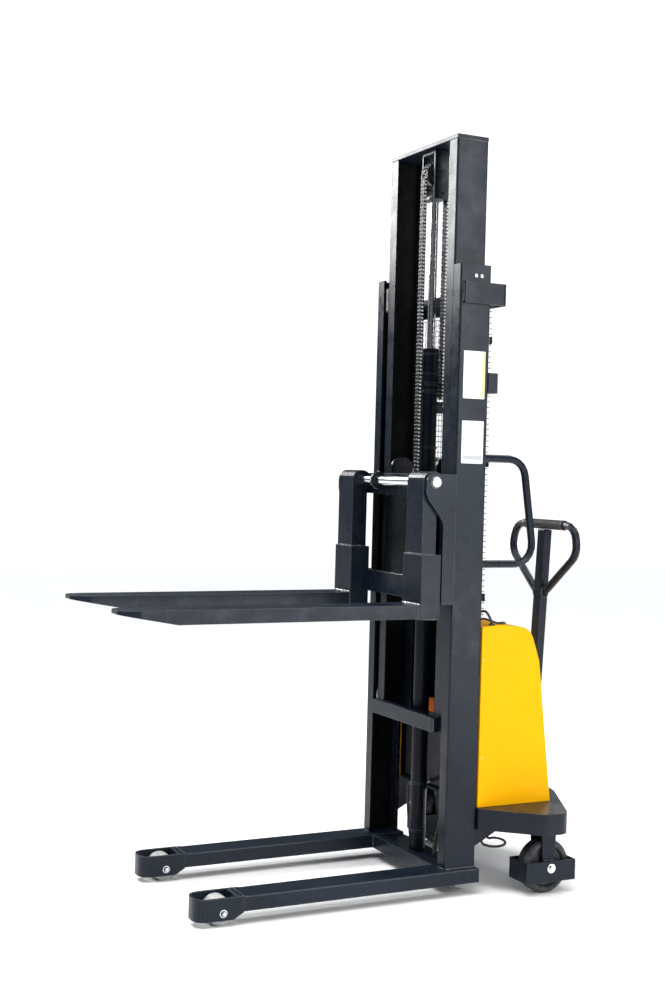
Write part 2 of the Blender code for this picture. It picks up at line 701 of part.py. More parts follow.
def base():
    for word, side in SIDES:
        leg(word, side)
    half = LEG_INNER - GAP
    front = MAST_Y - BASE_BEAM_REACH
    rear = CYLINDER_Y - BARREL_RADIUS - BASE_BEAM_CLEARANCE
    beam = box("base_beam", (-half, half), (front, rear), (LEG_TOP - LEG_HEIGHT, LEG_TOP),
               bevel=EDGE_RADIUS)
    plate = box("floor_plate", (-half, half), ((front + rear) / 2, MAST_Y + LEG_REAR),
                (FLOOR_PLATE_TOP - FLOOR_PLATE, FLOOR_PLATE_TOP))
    join(beam, plate)


# ---------------------------------------------------------------- cylinder and chain
def cylinder_and_rod():
    barrel_bottom = FLOOR_PLATE_TOP + GAP
    barrel = cylinder("lift_cylinder", (0, CYLINDER_Y, (barrel_bottom + BARREL_TOP) / 2), "Z",
                      BARREL_RADIUS, BARREL_TOP - barrel_bottom)
    overlap = 0.010
    gland_bottom = BARREL_TOP - overlap
    gland = cylinder("cylinder_gland", (0, CYLINDER_Y, (gland_bottom + GLAND_TOP) / 2), "Z",
                     BARREL_RADIUS + GLAND_LIP, GLAND_TOP - gland_bottom)
    anchor_rear = CYLINDER_Y + SHEAVE_PITCH_RADIUS + CHAIN_THICKNESS / 2 + 0.004
    anchor = box("chain_anchor", span(0, CHAIN_WIDTH + 0.008),
                 (CYLINDER_Y + BARREL_RADIUS / 2, anchor_rear),
                 (ANCHOR_TOP - ANCHOR_HEIGHT, ANCHOR_TOP))
    rod_bottom = BARREL_TOP - LIFT_ABOVE_REST - ROD_OVERLAP
    bore_bottom = rod_bottom - LIFT_AT_REST - ROD_FOOT_CLEARANCE
    bore_top = GLAND_TOP + ROD_FOOT_CLEARANCE
    bore = cylinder("rod_bore", (0, CYLINDER_Y, (bore_bottom + bore_top) / 2), "Z",
                    ROD_RADIUS + GAP, bore_top - bore_bottom, sides=SMALL_ROUND)
    join(barrel, gland, anchor)
    cut(barrel, bore)
    rod_top = SHEAVE_Z + SHEAVE_DROP - TOP_PLATE - BRACKET_HEIGHT - 2 * GAP
    cylinder("piston_rod", (0, CYLINDER_Y, (rod_bottom + rod_top) / 2), "Z", ROD_RADIUS,
             rod_top - rod_bottom, "chrome", sides=SMALL_ROUND)


def sheave_and_bracket():
    top = INNER_TOP - TOP_PLATE - GAP
    bottom = top - BRACKET_HEIGHT
    half = BRACKET_WIDTH / 2
    ys = span(CYLINDER_Y, BRACKET_DEPTH)
    bracket = box("sheave_bracket", (-half, half), ys, (bottom, top), bevel=EDGE_RADIUS)
    window = box("bracket_window", (BRACKET_WALL - half, half - BRACKET_WALL),
                 (ys[0] - 0.010, ys[1] + 0.010),
                 (bottom + 1.5 * BRACKET_WALL, top - 1.5 * BRACKET_WALL))
    pin = cylinder("sheave_pin", (0, CYLINDER_Y, SHEAVE_Z), "X", SHEAVE_PIN_RADIUS,
                   BRACKET_WIDTH + 0.008, sides=SMALL_ROUND)
    cut(bracket, window)
    join(bracket, pin)
    groove_half = CHAIN_WIDTH / 2 + RUNNING_GAP
    flange_half = groove_half + SHEAVE_FLANGE_WIDTH
    groove = CHAIN_INNER_RADIUS - 2 * GAP
    rim = groove + SHEAVE_FLANGE
    bore = SHEAVE_PIN_RADIUS + GAP
    profile = [(bore, flange_half), (bore, -flange_half), (rim, -flange_half),
               (rim, -groove_half), (groove, -groove_half), (groove, groove_half),
               (rim, groove_half), (rim, flange_half)]
    turned("chain_sheave", profile, (0, CYLINDER_Y, SHEAVE_Z), "X", "steel")


def chains():
    inner = CHAIN_INNER_RADIUS
    outer = inner + CHAIN_THICKNESS
    width = span(0, CHAIN_WIDTH)
    lug_top = BAR_Z + 0.025
    front = CYLINDER_Y - SHEAVE_PITCH_RADIUS
    box("chain_front", width, span(front, CHAIN_THICKNESS),
        (lug_top + GAP, SHEAVE_Z - GAP), "steel")
    wrap = [(CYLINDER_Y + inner, ANCHOR_TOP + GAP), (CYLINDER_Y + outer, ANCHOR_TOP + GAP)]
    wrap += arc(CYLINDER_Y, SHEAVE_Z, outer, 0, 180, CHAIN_WRAP_STEPS)
    wrap += arc(CYLINDER_Y, SHEAVE_Z, inner, 180, 0, CHAIN_WRAP_STEPS)
    slab("chain_rear", wrap, "YZ", *width, finish="steel")


# ---------------------------------------------------------------- carriage
def side_plate_outline():
    """Profile plate: a hump round the fork bar, then a curve back to a straight lower part."""
    rear = MAST_Y - SIDE_PLATE_STAND_OFF
    straight = rear - SIDE_PLATE_DEPTH
    front = BAR_Y - HUMP_RADIUS
    curve_top = BAR_Z - 0.030
    curve_bottom = BAR_Z - 0.145
    outline = [(rear, PLATE_BOTTOM), (rear, PLATE_TOP)]
    corner = PLATE_TOP - BAR_Z
    outline += arc(front + corner, BAR_Z, corner, 90, 180, 6)
    steps = 10
    for i in range(steps + 1):
        share = i / steps
        ease = share * share * (3 - 2 * share)
        outline.append((front + (straight - front) * ease,
                        curve_top + (curve_bottom - curve_top) * share))
    outline.append((straight, PLATE_BOTTOM))
    return outline


def carriage():
    outer = CARRIAGE_HALF_WIDTH
    inner = outer - SIDE_PLATE
    outline = side_plate_outline()
    for word, side in SIDES:
        plate = slab(f"carriage_plate_{word}", outline, "YZ", *sided(side, inner, outer))
        hole = cylinder(f"bar_hole_{word}", (side * (inner + outer) / 2, BAR_Y, BAR_Z), "X",
                        BAR_RADIUS + GAP, SIDE_PLATE * 3)
        cut(plate, hole)
    front = BEAM_REAR - BEAM_THICKNESS
    beam_z = (BAR_Z + 0.025 - BEAM_HEIGHT, BAR_Z + 0.025)
    beam = box("carriage_beam", (-BEAM_HALF, BEAM_HALF), (front, BEAM_REAR), beam_z)
    lug = box("chain_lug", span(0, CHAIN_WIDTH + 0.006),
              (BEAM_REAR - 0.010, CYLINDER_Y - SHEAVE_PITCH_RADIUS + CHAIN_THICKNESS / 2),
              (beam_z[0] + 0.010, beam_z[1] - 0.0001))
    join(beam, lug)
    plate_z = PLATE_BOTTOM + FOOT_PLATE_RISE
    box("carriage_foot_plate", (-BEAM_HALF, BEAM_HALF),
        (MAST_Y - SLEEVE_REAR + GAP, BEAM_REAR), (plate_z, plate_z + FOOT_PLATE_HEIGHT))
    cylinder("fork_bar", (0, BAR_Y, BAR_Z), "X", BAR_RADIUS, 2 * (outer + BAR_OVERHANG), "chrome")
    fork_bar_collar(front)


def fork_bar_collar(beam_front):
    """A ring round the middle of the fork bar, with a tail back to the carriage beam."""
    xs = span(COLLAR_X, COLLAR_THICKNESS)
    ring = cylinder("fork_bar_collar", (COLLAR_X, BAR_Y, BAR_Z), "X", COLLAR_RADIUS,
                    COLLAR_THICKNESS)
    tail = box("collar_tail", (xs[0] + 0.001, xs[1] - 0.001), (BAR_Y, beam_front - GAP),
               span(BAR_Z - 0.008, 0.042))
    hole = cylinder("collar_hole", (COLLAR_X, BAR_Y, BAR_Z), "X", BAR_RADIUS + GAP,
                    COLLAR_THICKNESS * 2)
    join(ring, tail)
    cut(ring, hole)


def roller_brackets():
    """Plates that reach into the inner mast, each with two stubs for its rollers."""
    bottom = PLATE_BOTTOM + ROLLER_BRACKET_RISE
    top = bottom + ROLLER_BRACKET_HEIGHT
    rear = INNER_MIDDLE_Y + 0.018
    front = BEAM_REAR + GAP
    cap = 0.037
    cap_y = MAST_Y + 0.050
    outline = [(front, bottom), (rear - 0.010, bottom), (rear, bottom + 0.010)]
    outline += arc(rear - cap, top - cap, cap, 0, 90, 5)
    outline += arc(cap_y - cap * 0.3, top - cap, cap, 90, 180, 5)
    outline += [(cap_y - 1.3 * cap, BAR_Z - 0.040), (front, BAR_Z - 0.060)]
    for word, side in SIDES:
        plate = slab(f"roller_bracket_{word}", outline, "YZ",
                     *sided(side, ROLLER_BRACKET_X - ROLLER_BRACKET_PLATE / 2,
                            ROLLER_BRACKET_X + ROLLER_BRACKET_PLATE / 2))
        face = ROLLER_BRACKET_X + ROLLER_BRACKET_PLATE / 2
        ring_start = INNER_HALF - INNER_WEB - RUNNING_GAP - ROLLER_WIDTH
        for level, height in (("lower", CARRIAGE_ROLLER_LOW), ("upper", CARRIAGE_ROLLER_HIGH)):
            z = PLATE_BOTTOM + height
            near = ROLLER_BRACKET_X
            far = INNER_HALF - INNER_WEB - RUNNING_GAP
            stub = cylinder(f"carriage_stub_{level}_{word}",
                            (side * (near + far) / 2, INNER_MIDDLE_Y, z), "X", STUB_RADIUS,
                            far - near, sides=SMALL_ROUND)
            join(plate, stub)
            roller_ring(f"carriage_roller_{level}_{word}", side,
                        max(ring_start, face + RUNNING_GAP), INNER_MIDDLE_Y, z,
                        INNER_DEPTH / 2 - INNER_WALL - ROLLER_CHANNEL_GAP)


# ---------------------------------------------------------------- forks
def fork(word, side):
    middle = side * FORK_CENTRE
    front = MAST_Y - SHANK_FRONT
    rear = front + SHANK_THICKNESS
    tip = front - FORK_LENGTH
    eye_start = math.degrees(math.asin((BAR_Y - rear) / EYE_RADIUS))
    shoulder = 0.030
    outline = [(rear, BLADE_BOTTOM + 0.002)]
    outline += arc(BAR_Y, BAR_Z, EYE_RADIUS, -90 - eye_start, 90, 12)
    outline += arc(front + shoulder, BAR_Z + EYE_RADIUS - shoulder, shoulder, 95, 180, 5)
    outline.append((front, BLADE_BOTTOM + 0.002))
    shank = slab(f"fork_{word}", outline, "YZ", *span(middle, SHANK_WIDTH))
    blade_side = slab(f"blade_side_{word}", [
        (MAST_Y - SLEEVE_REAR, BLADE_BOTTOM), (MAST_Y - SLEEVE_REAR, BLADE_TOP), (tip, BLADE_TOP),
        (tip - 0.0005, BLADE_TOP - BLADE_TIP_THICKNESS / 2),
        (tip, BLADE_TOP - BLADE_TIP_THICKNESS),
        (tip + BLADE_TAPER, BLADE_BOTTOM),
    ], "YZ", *span(middle, BLADE_WIDTH + 0.040))
    half = BLADE_WIDTH / 2
    plan = rounded_outline([
        (middle - half, MAST_Y, 0), (middle - half, tip + 0.060, 0.060),
        (middle - half + 0.016, tip, 0.030), (middle + half - 0.016, tip, 0.030),
        (middle + half, tip + 0.060, 0.060), (middle + half, MAST_Y, 0),
    ])
    blade = slab(f"blade_plan_{word}", plan, "XY", BLADE_BOTTOM - 0.010, BLADE_TOP + 0.010)
    combine(blade_side, "INTERSECT", blade)
    sleeve_half = SHANK_WIDTH / 2 + SLEEVE_WALL
    sleeve = box(f"fork_sleeve_{word}", (middle - sleeve_half, middle + sleeve_half),
                 (front - SLEEVE_WALL / 2, MAST_Y - SLEEVE_REAR - 0.0002),
                 (BLADE_BOTTOM - 0.003, BLADE_BOTTOM - 0.003 + SLEEVE_HEIGHT), bevel=0.002)
    hole = cylinder(f"fork_eye_{word}", (middle, BAR_Y, BAR_Z), "X", BAR_RADIUS + GAP,
                    SHANK_WIDTH * 1.5)
    join(shank, sleeve, blade_side)
    cut(shank, hole)


# ---------------------------------------------------------------- platform, cover and castors
def platform_corners(inset):
    """Plan of the platform, drawn in by an inset."""
    front = PLATFORM_FRONT + inset
    wide = PLATFORM_HALF_WIDTH - inset
    radius = PLATFORM_CORNER_RADIUS - inset
    nose = MAST_Y + PLATFORM_NOSE - inset
    right = [
        (PLATFORM_HALF_FRONT - inset, front, 0),
        (wide, CASTOR_AXIS_Y - 0.060, radius),
        (wide, CASTOR_AXIS_Y + 0.025, radius),
        (0.160 - inset / 2, MAST_Y + 0.520 - inset, 0.060),
    ]
    middle = [(0, nose, 0.150)]
    left = [(-x, y, r) for x, y, r in reversed(right)]
    return rounded_outline(right + middle + left, steps=4)


def platform():
    body = slab("platform", platform_corners(0.0), "XY", PLATFORM_BOTTOM, PLATFORM_TOP)
    hollow = slab("platform_hollow", platform_corners(PLATFORM_SHEET), "XY",
                  PLATFORM_BOTTOM - 0.010, PLATFORM_TOP - PLATFORM_SHEET)
    notch = box("mast_notch", (-MAST_OPENING, MAST_OPENING),
                (PLATFORM_FRONT - 0.010, MAST_OPENING_REAR),
                (PLATFORM_BOTTOM - 0.010, PLATFORM_TOP + 0.010))
    cut(body, hollow, notch)
    for word, side in SIDES:
        boss = cylinder(f"castor_boss_{word}", (side * CASTOR_X, CASTOR_AXIS_Y,
                        PLATFORM_TOP - PLATFORM_DEPTH / 2 - 0.0001), "Z", BOSS_RADIUS,
                        PLATFORM_DEPTH - 0.004)
        xs = sided(side, GUSSET_X, GUSSET_X + GUSSET_THICKNESS)
        gusset = slab(f"gusset_{word}", [
            (PLATFORM_FRONT + 0.0005, PLATFORM_TOP - PLATFORM_SHEET / 2),
            (PLATFORM_FRONT + 0.0005, PLATFORM_BOTTOM - GUSSET_DROP),
            (PLATFORM_FRONT + GUSSET_LENGTH, PLATFORM_BOTTOM - 0.001),
            (PLATFORM_FRONT + GUSSET_LENGTH, PLATFORM_TOP - PLATFORM_SHEET / 2),
        ], "YZ", *xs)
        join(body, boss, gusset)


def cover_profile(inset):
    """Side view of the cover: upright front, flat top, round shoulder, sloping back."""
    front = MAST_Y + COVER_FRONT + inset
    bottom = PLATFORM_TOP + GAP
    top = bottom + COVER_HEIGHT - inset
    foot = MAST_Y + COVER_FOOT_REAR - inset
    shoulder = MAST_Y + COVER_SHOULDER_REAR - inset
    start = bottom - (0.020 if inset else 0.0)
    return rounded_outline([
        (front, start, 0), (foot, start, 0),
        (shoulder, bottom + COVER_SHOULDER_RISE, 0.060),
        (shoulder - 0.040, top - 0.012, 0.060),
        (front + 0.070, top, 0.020), (front, top - 0.006, 0.004),
    ], steps=4)


def cover():
    shell = slab("cover", cover_profile(0.0), "YZ", -OUTER_HALF, OUTER_HALF, "cover")
    edge = shell.modifiers.new("edges", "BEVEL")
    edge.width = COVER_EDGE_RADIUS / 2
    edge.segments = 1
    edge.limit_method = "ANGLE"
    edge.angle_limit = math.radians(60)
    inside = slab("cover_inside", cover_profile(COVER_SHEET), "YZ",
                  COVER_SHEET - OUTER_HALF, OUTER_HALF - COVER_SHEET)
    opening = box("cover_front_opening", (-MAST_OPENING, MAST_OPENING),
                  (MAST_Y + COVER_FRONT - 0.010, MAST_OPENING_REAR),
                  (PLATFORM_TOP - 0.020, PLATFORM_TOP + COVER_HEIGHT + 0.020))
    cut(shell, inside, opening)


def castor(word, side):
    x = side * CASTOR_X
    y = CASTOR_AXIS_Y
    crown_top = PLATFORM_BOTTOM + 0.002 - GAP
    crown_bottom = crown_top - CASTOR_CROWN_HEIGHT
    cheek_inner = CASTOR_WIDTH / 2 + CASTOR_CHEEK_GAP
    cheek_outer = cheek_inner + CASTOR_CHEEK
    crown = cylinder(f"castor_yoke_{word}", (x, y, crown_top - CASTOR_CROWN_HEIGHT / 2), "Z",
                     cheek_outer + 0.004, CASTOR_CROWN_HEIGHT)
    top_half = CASTOR_CHEEK_TOP_WIDTH / 2
    foot_half = CASTOR_CHEEK_FOOT_WIDTH / 2
    outline = [(y - top_half, crown_bottom + 0.004), (y + top_half, crown_bottom + 0.004)]
    outline += arc(y, CASTOR_RADIUS, foot_half, 0, -180, 8)
    for cheek_side, tag in ((1, "a"), (-1, "b")):
        low, high = sided(cheek_side, cheek_inner, cheek_outer)
        join(crown, slab(f"castor_cheek_{word}_{tag}", outline, "YZ", x + low, x + high))
    half_x = GUARD_WIDTH / 2
    half_y = CASTOR_RADIUS + GUARD_CLEARANCE
    guard_z = (GUARD_BOTTOM, GUARD_BOTTOM + GUARD_HEIGHT)
    guard = box(f"toe_guard_{word}", (x - half_x, x + half_x), (y - half_y, y + half_y), guard_z)
    opening = box(f"toe_guard_opening_{word}", (x - half_x + GUARD_WALL, x + half_x - GUARD_WALL),
                  (y - half_y + GUARD_WALL, y + half_y - GUARD_WALL),
                  (guard_z[0] - 0.010, guard_z[1] + 0.010))
    cut(guard, opening)
    axle = cylinder(f"castor_axle_{word}", (x, y, CASTOR_RADIUS), "X", CASTOR_AXLE_RADIUS,
                    GUARD_WIDTH + 0.008, sides=SMALL_ROUND)
    join(crown, guard, axle)
    bore = CASTOR_AXLE_RADIUS + GAP
    half = CASTOR_WIDTH / 2
    hub = CASTOR_RADIUS - CASTOR_TREAD
    profile = [(bore, half), (bore, -half), (0.026, -half), (0.030, 0.010 - half),
               (hub - 0.006, 0.010 - half), (hub, -half), (CASTOR_RADIUS - 0.006, -half),
               (CASTOR_RADIUS, 0.008 - half), (CASTOR_RADIUS, half - 0.008),
               (CASTOR_RADIUS - 0.006, half), (hub, half), (hub - 0.006, half - 0.010),
               (0.030, half - 0.010), (0.026, half)]
    turned(f"castor_wheel_{word}", profile, (x, y, CASTOR_RADIUS), "X", "rubber", sides=36)


# ---------------------------------------------------------------- handles and tiller
def grab_handles():
    start = MAST_Y + OUTER_DEPTH + GAP
    for word, side in SIDES:
        x = side * HANDLE_X
        corners = [(x, start, HANDLE_TOP), (x, MAST_Y + HANDLE_REACH_TOP, HANDLE_TOP),
                   (x, MAST_Y + HANDLE_REACH_BOTTOM, HANDLE_BOTTOM), (x, start, HANDLE_BOTTOM)]
        tube(f"grab_handle_{word}", bent_path(corners, HANDLE_BEND), TUBE_RADIUS)


def lean(across, height, depth=0.0):
    """A point of the tiller, given across and along the leaning pole from its pivot."""
    sin = math.sin(TILLER_LEAN_ANGLE)
    cos = math.cos(TILLER_LEAN_ANGLE)
    return (across, TILLER_AXIS_Y + height * sin + depth * cos,
            TILLER_PIVOT_HEIGHT + height * cos - depth * sin)


def tiller():
    pivot = (0, TILLER_AXIS_Y, TILLER_PIVOT_HEIGHT)
    turret_bottom = PLATFORM_TOP + GAP
    turret = cylinder("tiller_turret", (0, TILLER_AXIS_Y, turret_bottom + TURRET_HEIGHT / 2), "Z",
                      TURRET_RADIUS, TURRET_HEIGHT)
    ear = 0.008
    ear_half = 0.022
    outline = [(TILLER_AXIS_Y - ear_half, turret_bottom + TURRET_HEIGHT - 0.004),
               (TILLER_AXIS_Y + ear_half, turret_bottom + TURRET_HEIGHT - 0.004)]
    outline += arc(TILLER_AXIS_Y, TILLER_PIVOT_HEIGHT, ear_half, 0, 180, 8)
    inner = TILLER_TUBE_X / 2 + RUNNING_GAP
    for ear_side, tag in ((1, "a"), (-1, "b")):
        join(turret, slab(f"turret_ear_{tag}", outline, "YZ",
                          *sided(ear_side, inner, inner + ear)))
    pin = cylinder("tiller_pin", pivot, "X", TILLER_PIN_RADIUS, 2 * (inner + ear) + 0.008,
                   sides=SMALL_ROUND)
    join(turret, pin)

    pole = box("tiller_pole", span(0, TILLER_TUBE_X), span(0, TILLER_TUBE_Y),
               (-TILLER_FOOT, TILLER_HEIGHT), bevel=2 * EDGE_RADIUS)
    pole.data.transform(Matrix.Rotation(-TILLER_LEAN_ANGLE, 4, "X"))
    pole.data.transform(Matrix.Translation(pivot))
    path = tiller_loop_path()
    cut(pole, cylinder("pole_bore", pivot, "X", TILLER_PIN_RADIUS + GAP, TILLER_TUBE_X * 2,
                       sides=SMALL_ROUND),
        tube("loop_saddle", path, LOOP_TUBE_RADIUS + GAP, cyclic=True, finish="frame"))
    tube("tiller_loop", path, LOOP_TUBE_RADIUS, cyclic=True)


def tiller_loop_path():
    """Centre line of the hand loop: a V up through the pole, two shoulders and a top bar."""
    corners = [lean(0, LOOP_APEX),
               lean(LOOP_HALF_WIDTH, LOOP_TOP - LOOP_SHOULDER),
               lean(LOOP_HALF_WIDTH - LOOP_SHOULDER_INSET, LOOP_TOP),
               lean(LOOP_SHOULDER_INSET - LOOP_HALF_WIDTH, LOOP_TOP),
               lean(-LOOP_HALF_WIDTH, LOOP_TOP - LOOP_SHOULDER)]
    ring = [corners[-1], *corners, corners[0]]
    return bent_path(ring, LOOP_BEND, steps=4)[1:-1]


def tiller_grip():
    start = lean(-GRIP_HALF_LENGTH, LOOP_TOP)
    centre = (0, start[1], start[2])
    bore = LOOP_TUBE_RADIUS + GAP
    half = GRIP_HALF_LENGTH
    edge = EDGE_RADIUS / 2
    profile = [(bore, half), (bore, -half), (GRIP_RADIUS - edge, -half),
               (GRIP_RADIUS, EDGE_RADIUS - half), (GRIP_RADIUS, half - EDGE_RADIUS),
               (GRIP_RADIUS - edge, half)]
    turned("tiller_grip", profile, centre, "X", "rubber", sides=24)


# ---------------------------------------------------------------- power unit and controls
def power_unit():
    floor = PLATFORM_TOP + GAP
    width, depth, height = BATTERY_SIZE
    box("battery", span(BATTERY_CENTRE_X, width),
        (MAST_Y + INSIDE_SETBACK, MAST_Y + INSIDE_SETBACK + depth), (floor, floor + height),
        "battery", bevel=0.006)
    y = MAST_Y + MOTOR_Y
    motor = cylinder("pump_motor", (MOTOR_X, y, floor + MOTOR_HEIGHT / 2), "Z", MOTOR_RADIUS,
                     MOTOR_HEIGHT, "frame")
    block_z = floor + MOTOR_HEIGHT - 0.005
    block = box("pump_block", span(MOTOR_X, PUMP_BLOCK[0]), span(y, PUMP_BLOCK[1]),
                (block_z, block_z + PUMP_BLOCK[2]))
    join(motor, block)
    tank_z = block_z + PUMP_BLOCK[2] + GAP
    box("oil_tank", span(MOTOR_X, TANK_SIZE[0]), span(y, TANK_SIZE[1]),
        (tank_z, tank_z + TANK_SIZE[2]), "battery", bevel=0.008)


def hose_and_cable():
    width, depth, height = BATTERY_SIZE
    y = MAST_Y + INSIDE_SETBACK
    battery_top = PLATFORM_TOP + GAP + height
    x_low, x_high = span(CONNECTOR_X, CONNECTOR_SIZE[0])
    connector_z = (battery_top + GAP, battery_top + GAP + CONNECTOR_SIZE[2])
    box("power_connector", (x_low, x_high), (y + 0.002, y + 0.002 + CONNECTOR_SIZE[1]),
        connector_z, "connector", bevel=EDGE_RADIUS)
    block_x = MOTOR_X - PUMP_BLOCK[0] / 2
    block_middle = PLATFORM_TOP + MOTOR_HEIGHT + PUMP_BLOCK[2] / 2
    cable_y = y + 0.002 + CONNECTOR_SIZE[1] / 2
    cable_z = connector_z[0] + CONNECTOR_SIZE[2] / 2
    past_battery = BATTERY_CENTRE_X + width / 2 + 0.022
    cable = [(x_high + GAP, cable_y, cable_z), (past_battery, cable_y, cable_z),
             (block_x - 0.024, MAST_Y + MOTOR_Y, block_middle),
             (block_x - GAP, MAST_Y + MOTOR_Y, block_middle)]
    tube("battery_cable", bent_path(cable, 0.014), CABLE_RADIUS, "rubber", sides=1)
    port_y = CYLINDER_Y + BARREL_RADIUS + GAP
    behind = MAST_Y + OUTER_DEPTH + 0.020
    block_front = MAST_Y + MOTOR_Y - PUMP_BLOCK[1] / 2
    hose_x = block_x + 0.028
    port_z = PLATFORM_TOP + HOSE_PORT_RISE
    hose = [(0, port_y, port_z), (0, behind, port_z),
            (hose_x, behind, block_middle), (hose_x, block_front - GAP, block_middle)]
    tube("hydraulic_hose", bent_path(hose, 0.028), HOSE_RADIUS, "rubber", sides=1)


def on_cover_back(x, z):
    """A point on the cover's sloping back at a height, and the turn from +Z to its normal."""
    bottom = PLATFORM_TOP + GAP
    run = COVER_SHOULDER_REAR - COVER_FOOT_REAR
    share = (z - bottom) / COVER_SHOULDER_RISE
    angle = math.atan2(-run, COVER_SHOULDER_RISE)
    point = Vector((x, MAST_Y + COVER_FOOT_REAR + run * share, z))
    return point, Matrix.Rotation(-math.radians(90) + angle, 4, "X")


def stand_on(obj, point, turn):
    """Move a piece drawn upright at the origin onto a place on the cover's back."""
    obj.data.transform(turn)
    obj.location = point
    return obj


def controls():
    point, turn = on_cover_back(STOP_X, PLATFORM_TOP + STOP_RISE)
    stem_length = 0.030
    head = 0.014
    clear = STOP_TRAVEL + RUNNING_GAP
    stem = cylinder("emergency_stop", (0, 0, clear - stem_length / 2 + 0.002), "Z",
                    STOP_STEM_RADIUS, stem_length, "red", sides=SMALL_ROUND)
    cap = cylinder("stop_head", (0, 0, clear + head / 2), "Z", STOP_HEAD_RADIUS, head,
                   "red", radius2=STOP_HEAD_RADIUS * 0.85)
    stand_on(stem, point, turn)
    stand_on(cap, point, turn)
    join(stem, cap)
    hole = cylinder("stop_hole", (0, 0, 0), "Z", STOP_STEM_RADIUS + GAP, 0.040,
                    sides=SMALL_ROUND)
    stand_on(hole, point, turn)
    cut(bpy.data.objects["cover"], hole)
    point, turn = on_cover_back(LEVER_X, PLATFORM_TOP + LEVER_RISE)
    hub_height = 0.014
    hub = cylinder("lift_lever", (0, 0, GAP + hub_height / 2), "Z", LEVER_HUB_RADIUS,
                   hub_height, "rubber")
    arm = box("lever_arm", span(0, 0.012), (-LEVER_LENGTH, 0), (0.004, 0.013), bevel=EDGE_RADIUS)
    stand_on(hub, point, turn)
    stand_on(arm, point, turn)
    join(hub, arm)


# ---------------------------------------------------------------- what moves together
BODIES = {
    "inner_mast": ((0, INNER_MIDDLE_Y, INNER_BOTTOM), (
        "inner_upright_left", "inner_upright_right", "inner_top_plate", "inner_crossbar",
        "piston_rod", "sheave_bracket", "chain_front")),
    "carriage": ((0, BAR_Y, BAR_Z), (
        "carriage_plate_left", "carriage_plate_right", "carriage_beam", "carriage_foot_plate",
        "fork_bar", "fork_bar_collar", "roller_bracket_left", "roller_bracket_right")),
    "tiller": ((0, TILLER_AXIS_Y, TILLER_PIVOT_HEIGHT), (
        "tiller_pole", "tiller_loop", "tiller_grip")),
}


def single_pivots():
    """Pieces that move by themselves, each with a point on its joint's axis."""
    roller_x = INNER_HALF + ROLLER_WIDTH / 2
    low = PLATE_BOTTOM + CARRIAGE_ROLLER_LOW
    high = PLATE_BOTTOM + CARRIAGE_ROLLER_HIGH
    pivots = {
        "chain_sheave": (0, CYLINDER_Y, SHEAVE_Z),
        "tiller_turret": (0, TILLER_AXIS_Y, PLATFORM_TOP),
    }
    for word, side in SIDES:
        pivots[f"mast_roller_{word}"] = (side * roller_x, OUTER_MIDDLE_Y, mast_roller_height())
        pivots[f"carriage_roller_lower_{word}"] = (side * roller_x, INNER_MIDDLE_Y, low)
        pivots[f"carriage_roller_upper_{word}"] = (side * roller_x, INNER_MIDDLE_Y, high)
        pivots[f"load_roller_{word}"] = (side * LEG_HALF_TRACK, LOAD_AXLE_Y, LOAD_ROLLER_RADIUS)
        pivots[f"castor_yoke_{word}"] = (side * CASTOR_X, CASTOR_AXIS_Y, PLATFORM_BOTTOM)
        pivots[f"castor_wheel_{word}"] = (side * CASTOR_X, CASTOR_AXIS_Y, CASTOR_RADIUS)
        pivots[f"fork_{word}"] = (side * FORK_CENTRE, BAR_Y, BAR_Z)
    return pivots


def set_pivot(name, point):
    """Move a piece's origin to a point, and leave its shape where it is."""
    obj = bpy.data.objects[name]
    shift = Vector(point) - obj.location
    obj.data.transform(Matrix.Translation(-shift))
    obj.location = point


def group_bodies():
    for body, (point, names) in BODIES.items():
        empty = bpy.data.objects.new(f"{body}_origin", None)
        empty.location = point
        collection(MODEL).objects.link(empty)
        for name in names:
            obj = bpy.data.objects[name]
            obj.parent = empty
            obj.matrix_parent_inverse = Matrix.Translation(-Vector(point))
    for name, point in single_pivots().items():
        set_pivot(name, point)


def build():
    clear_scene()
    outer_mast()
    rear_straps()
    inner_mast()
    base()
    cylinder_and_rod()
    sheave_and_bracket()
    chains()
    carriage()
    roller_brackets()
    for word, side in SIDES:
        fork(word, side)
        castor(word, side)
    platform()
    cover()
    grab_handles()
    tiller()
    tiller_grip()
    power_unit()
    hose_and_cable()
    controls()
    group_bodies()


build()
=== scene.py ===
import math

import bmesh
import bpy
from mathutils import Matrix, Vector


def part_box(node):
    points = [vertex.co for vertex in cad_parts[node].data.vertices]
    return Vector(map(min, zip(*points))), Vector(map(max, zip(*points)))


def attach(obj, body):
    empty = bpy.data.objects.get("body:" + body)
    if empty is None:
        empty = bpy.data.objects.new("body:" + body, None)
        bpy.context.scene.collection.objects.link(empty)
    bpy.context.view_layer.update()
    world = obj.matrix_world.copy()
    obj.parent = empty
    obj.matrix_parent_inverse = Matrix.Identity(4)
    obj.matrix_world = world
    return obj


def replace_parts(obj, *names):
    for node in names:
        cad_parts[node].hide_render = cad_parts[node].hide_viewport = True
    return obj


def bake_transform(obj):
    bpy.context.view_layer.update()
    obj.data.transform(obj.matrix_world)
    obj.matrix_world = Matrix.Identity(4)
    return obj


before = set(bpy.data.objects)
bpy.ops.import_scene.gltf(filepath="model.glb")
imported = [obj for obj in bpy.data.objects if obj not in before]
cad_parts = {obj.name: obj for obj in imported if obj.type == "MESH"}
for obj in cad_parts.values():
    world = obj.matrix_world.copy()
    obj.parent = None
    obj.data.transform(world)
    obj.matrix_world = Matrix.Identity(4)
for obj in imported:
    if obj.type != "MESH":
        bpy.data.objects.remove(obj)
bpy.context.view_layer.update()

# ------------------------ places from the CAD
def middle(name):
    low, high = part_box(name)
    return (low + high) / 2


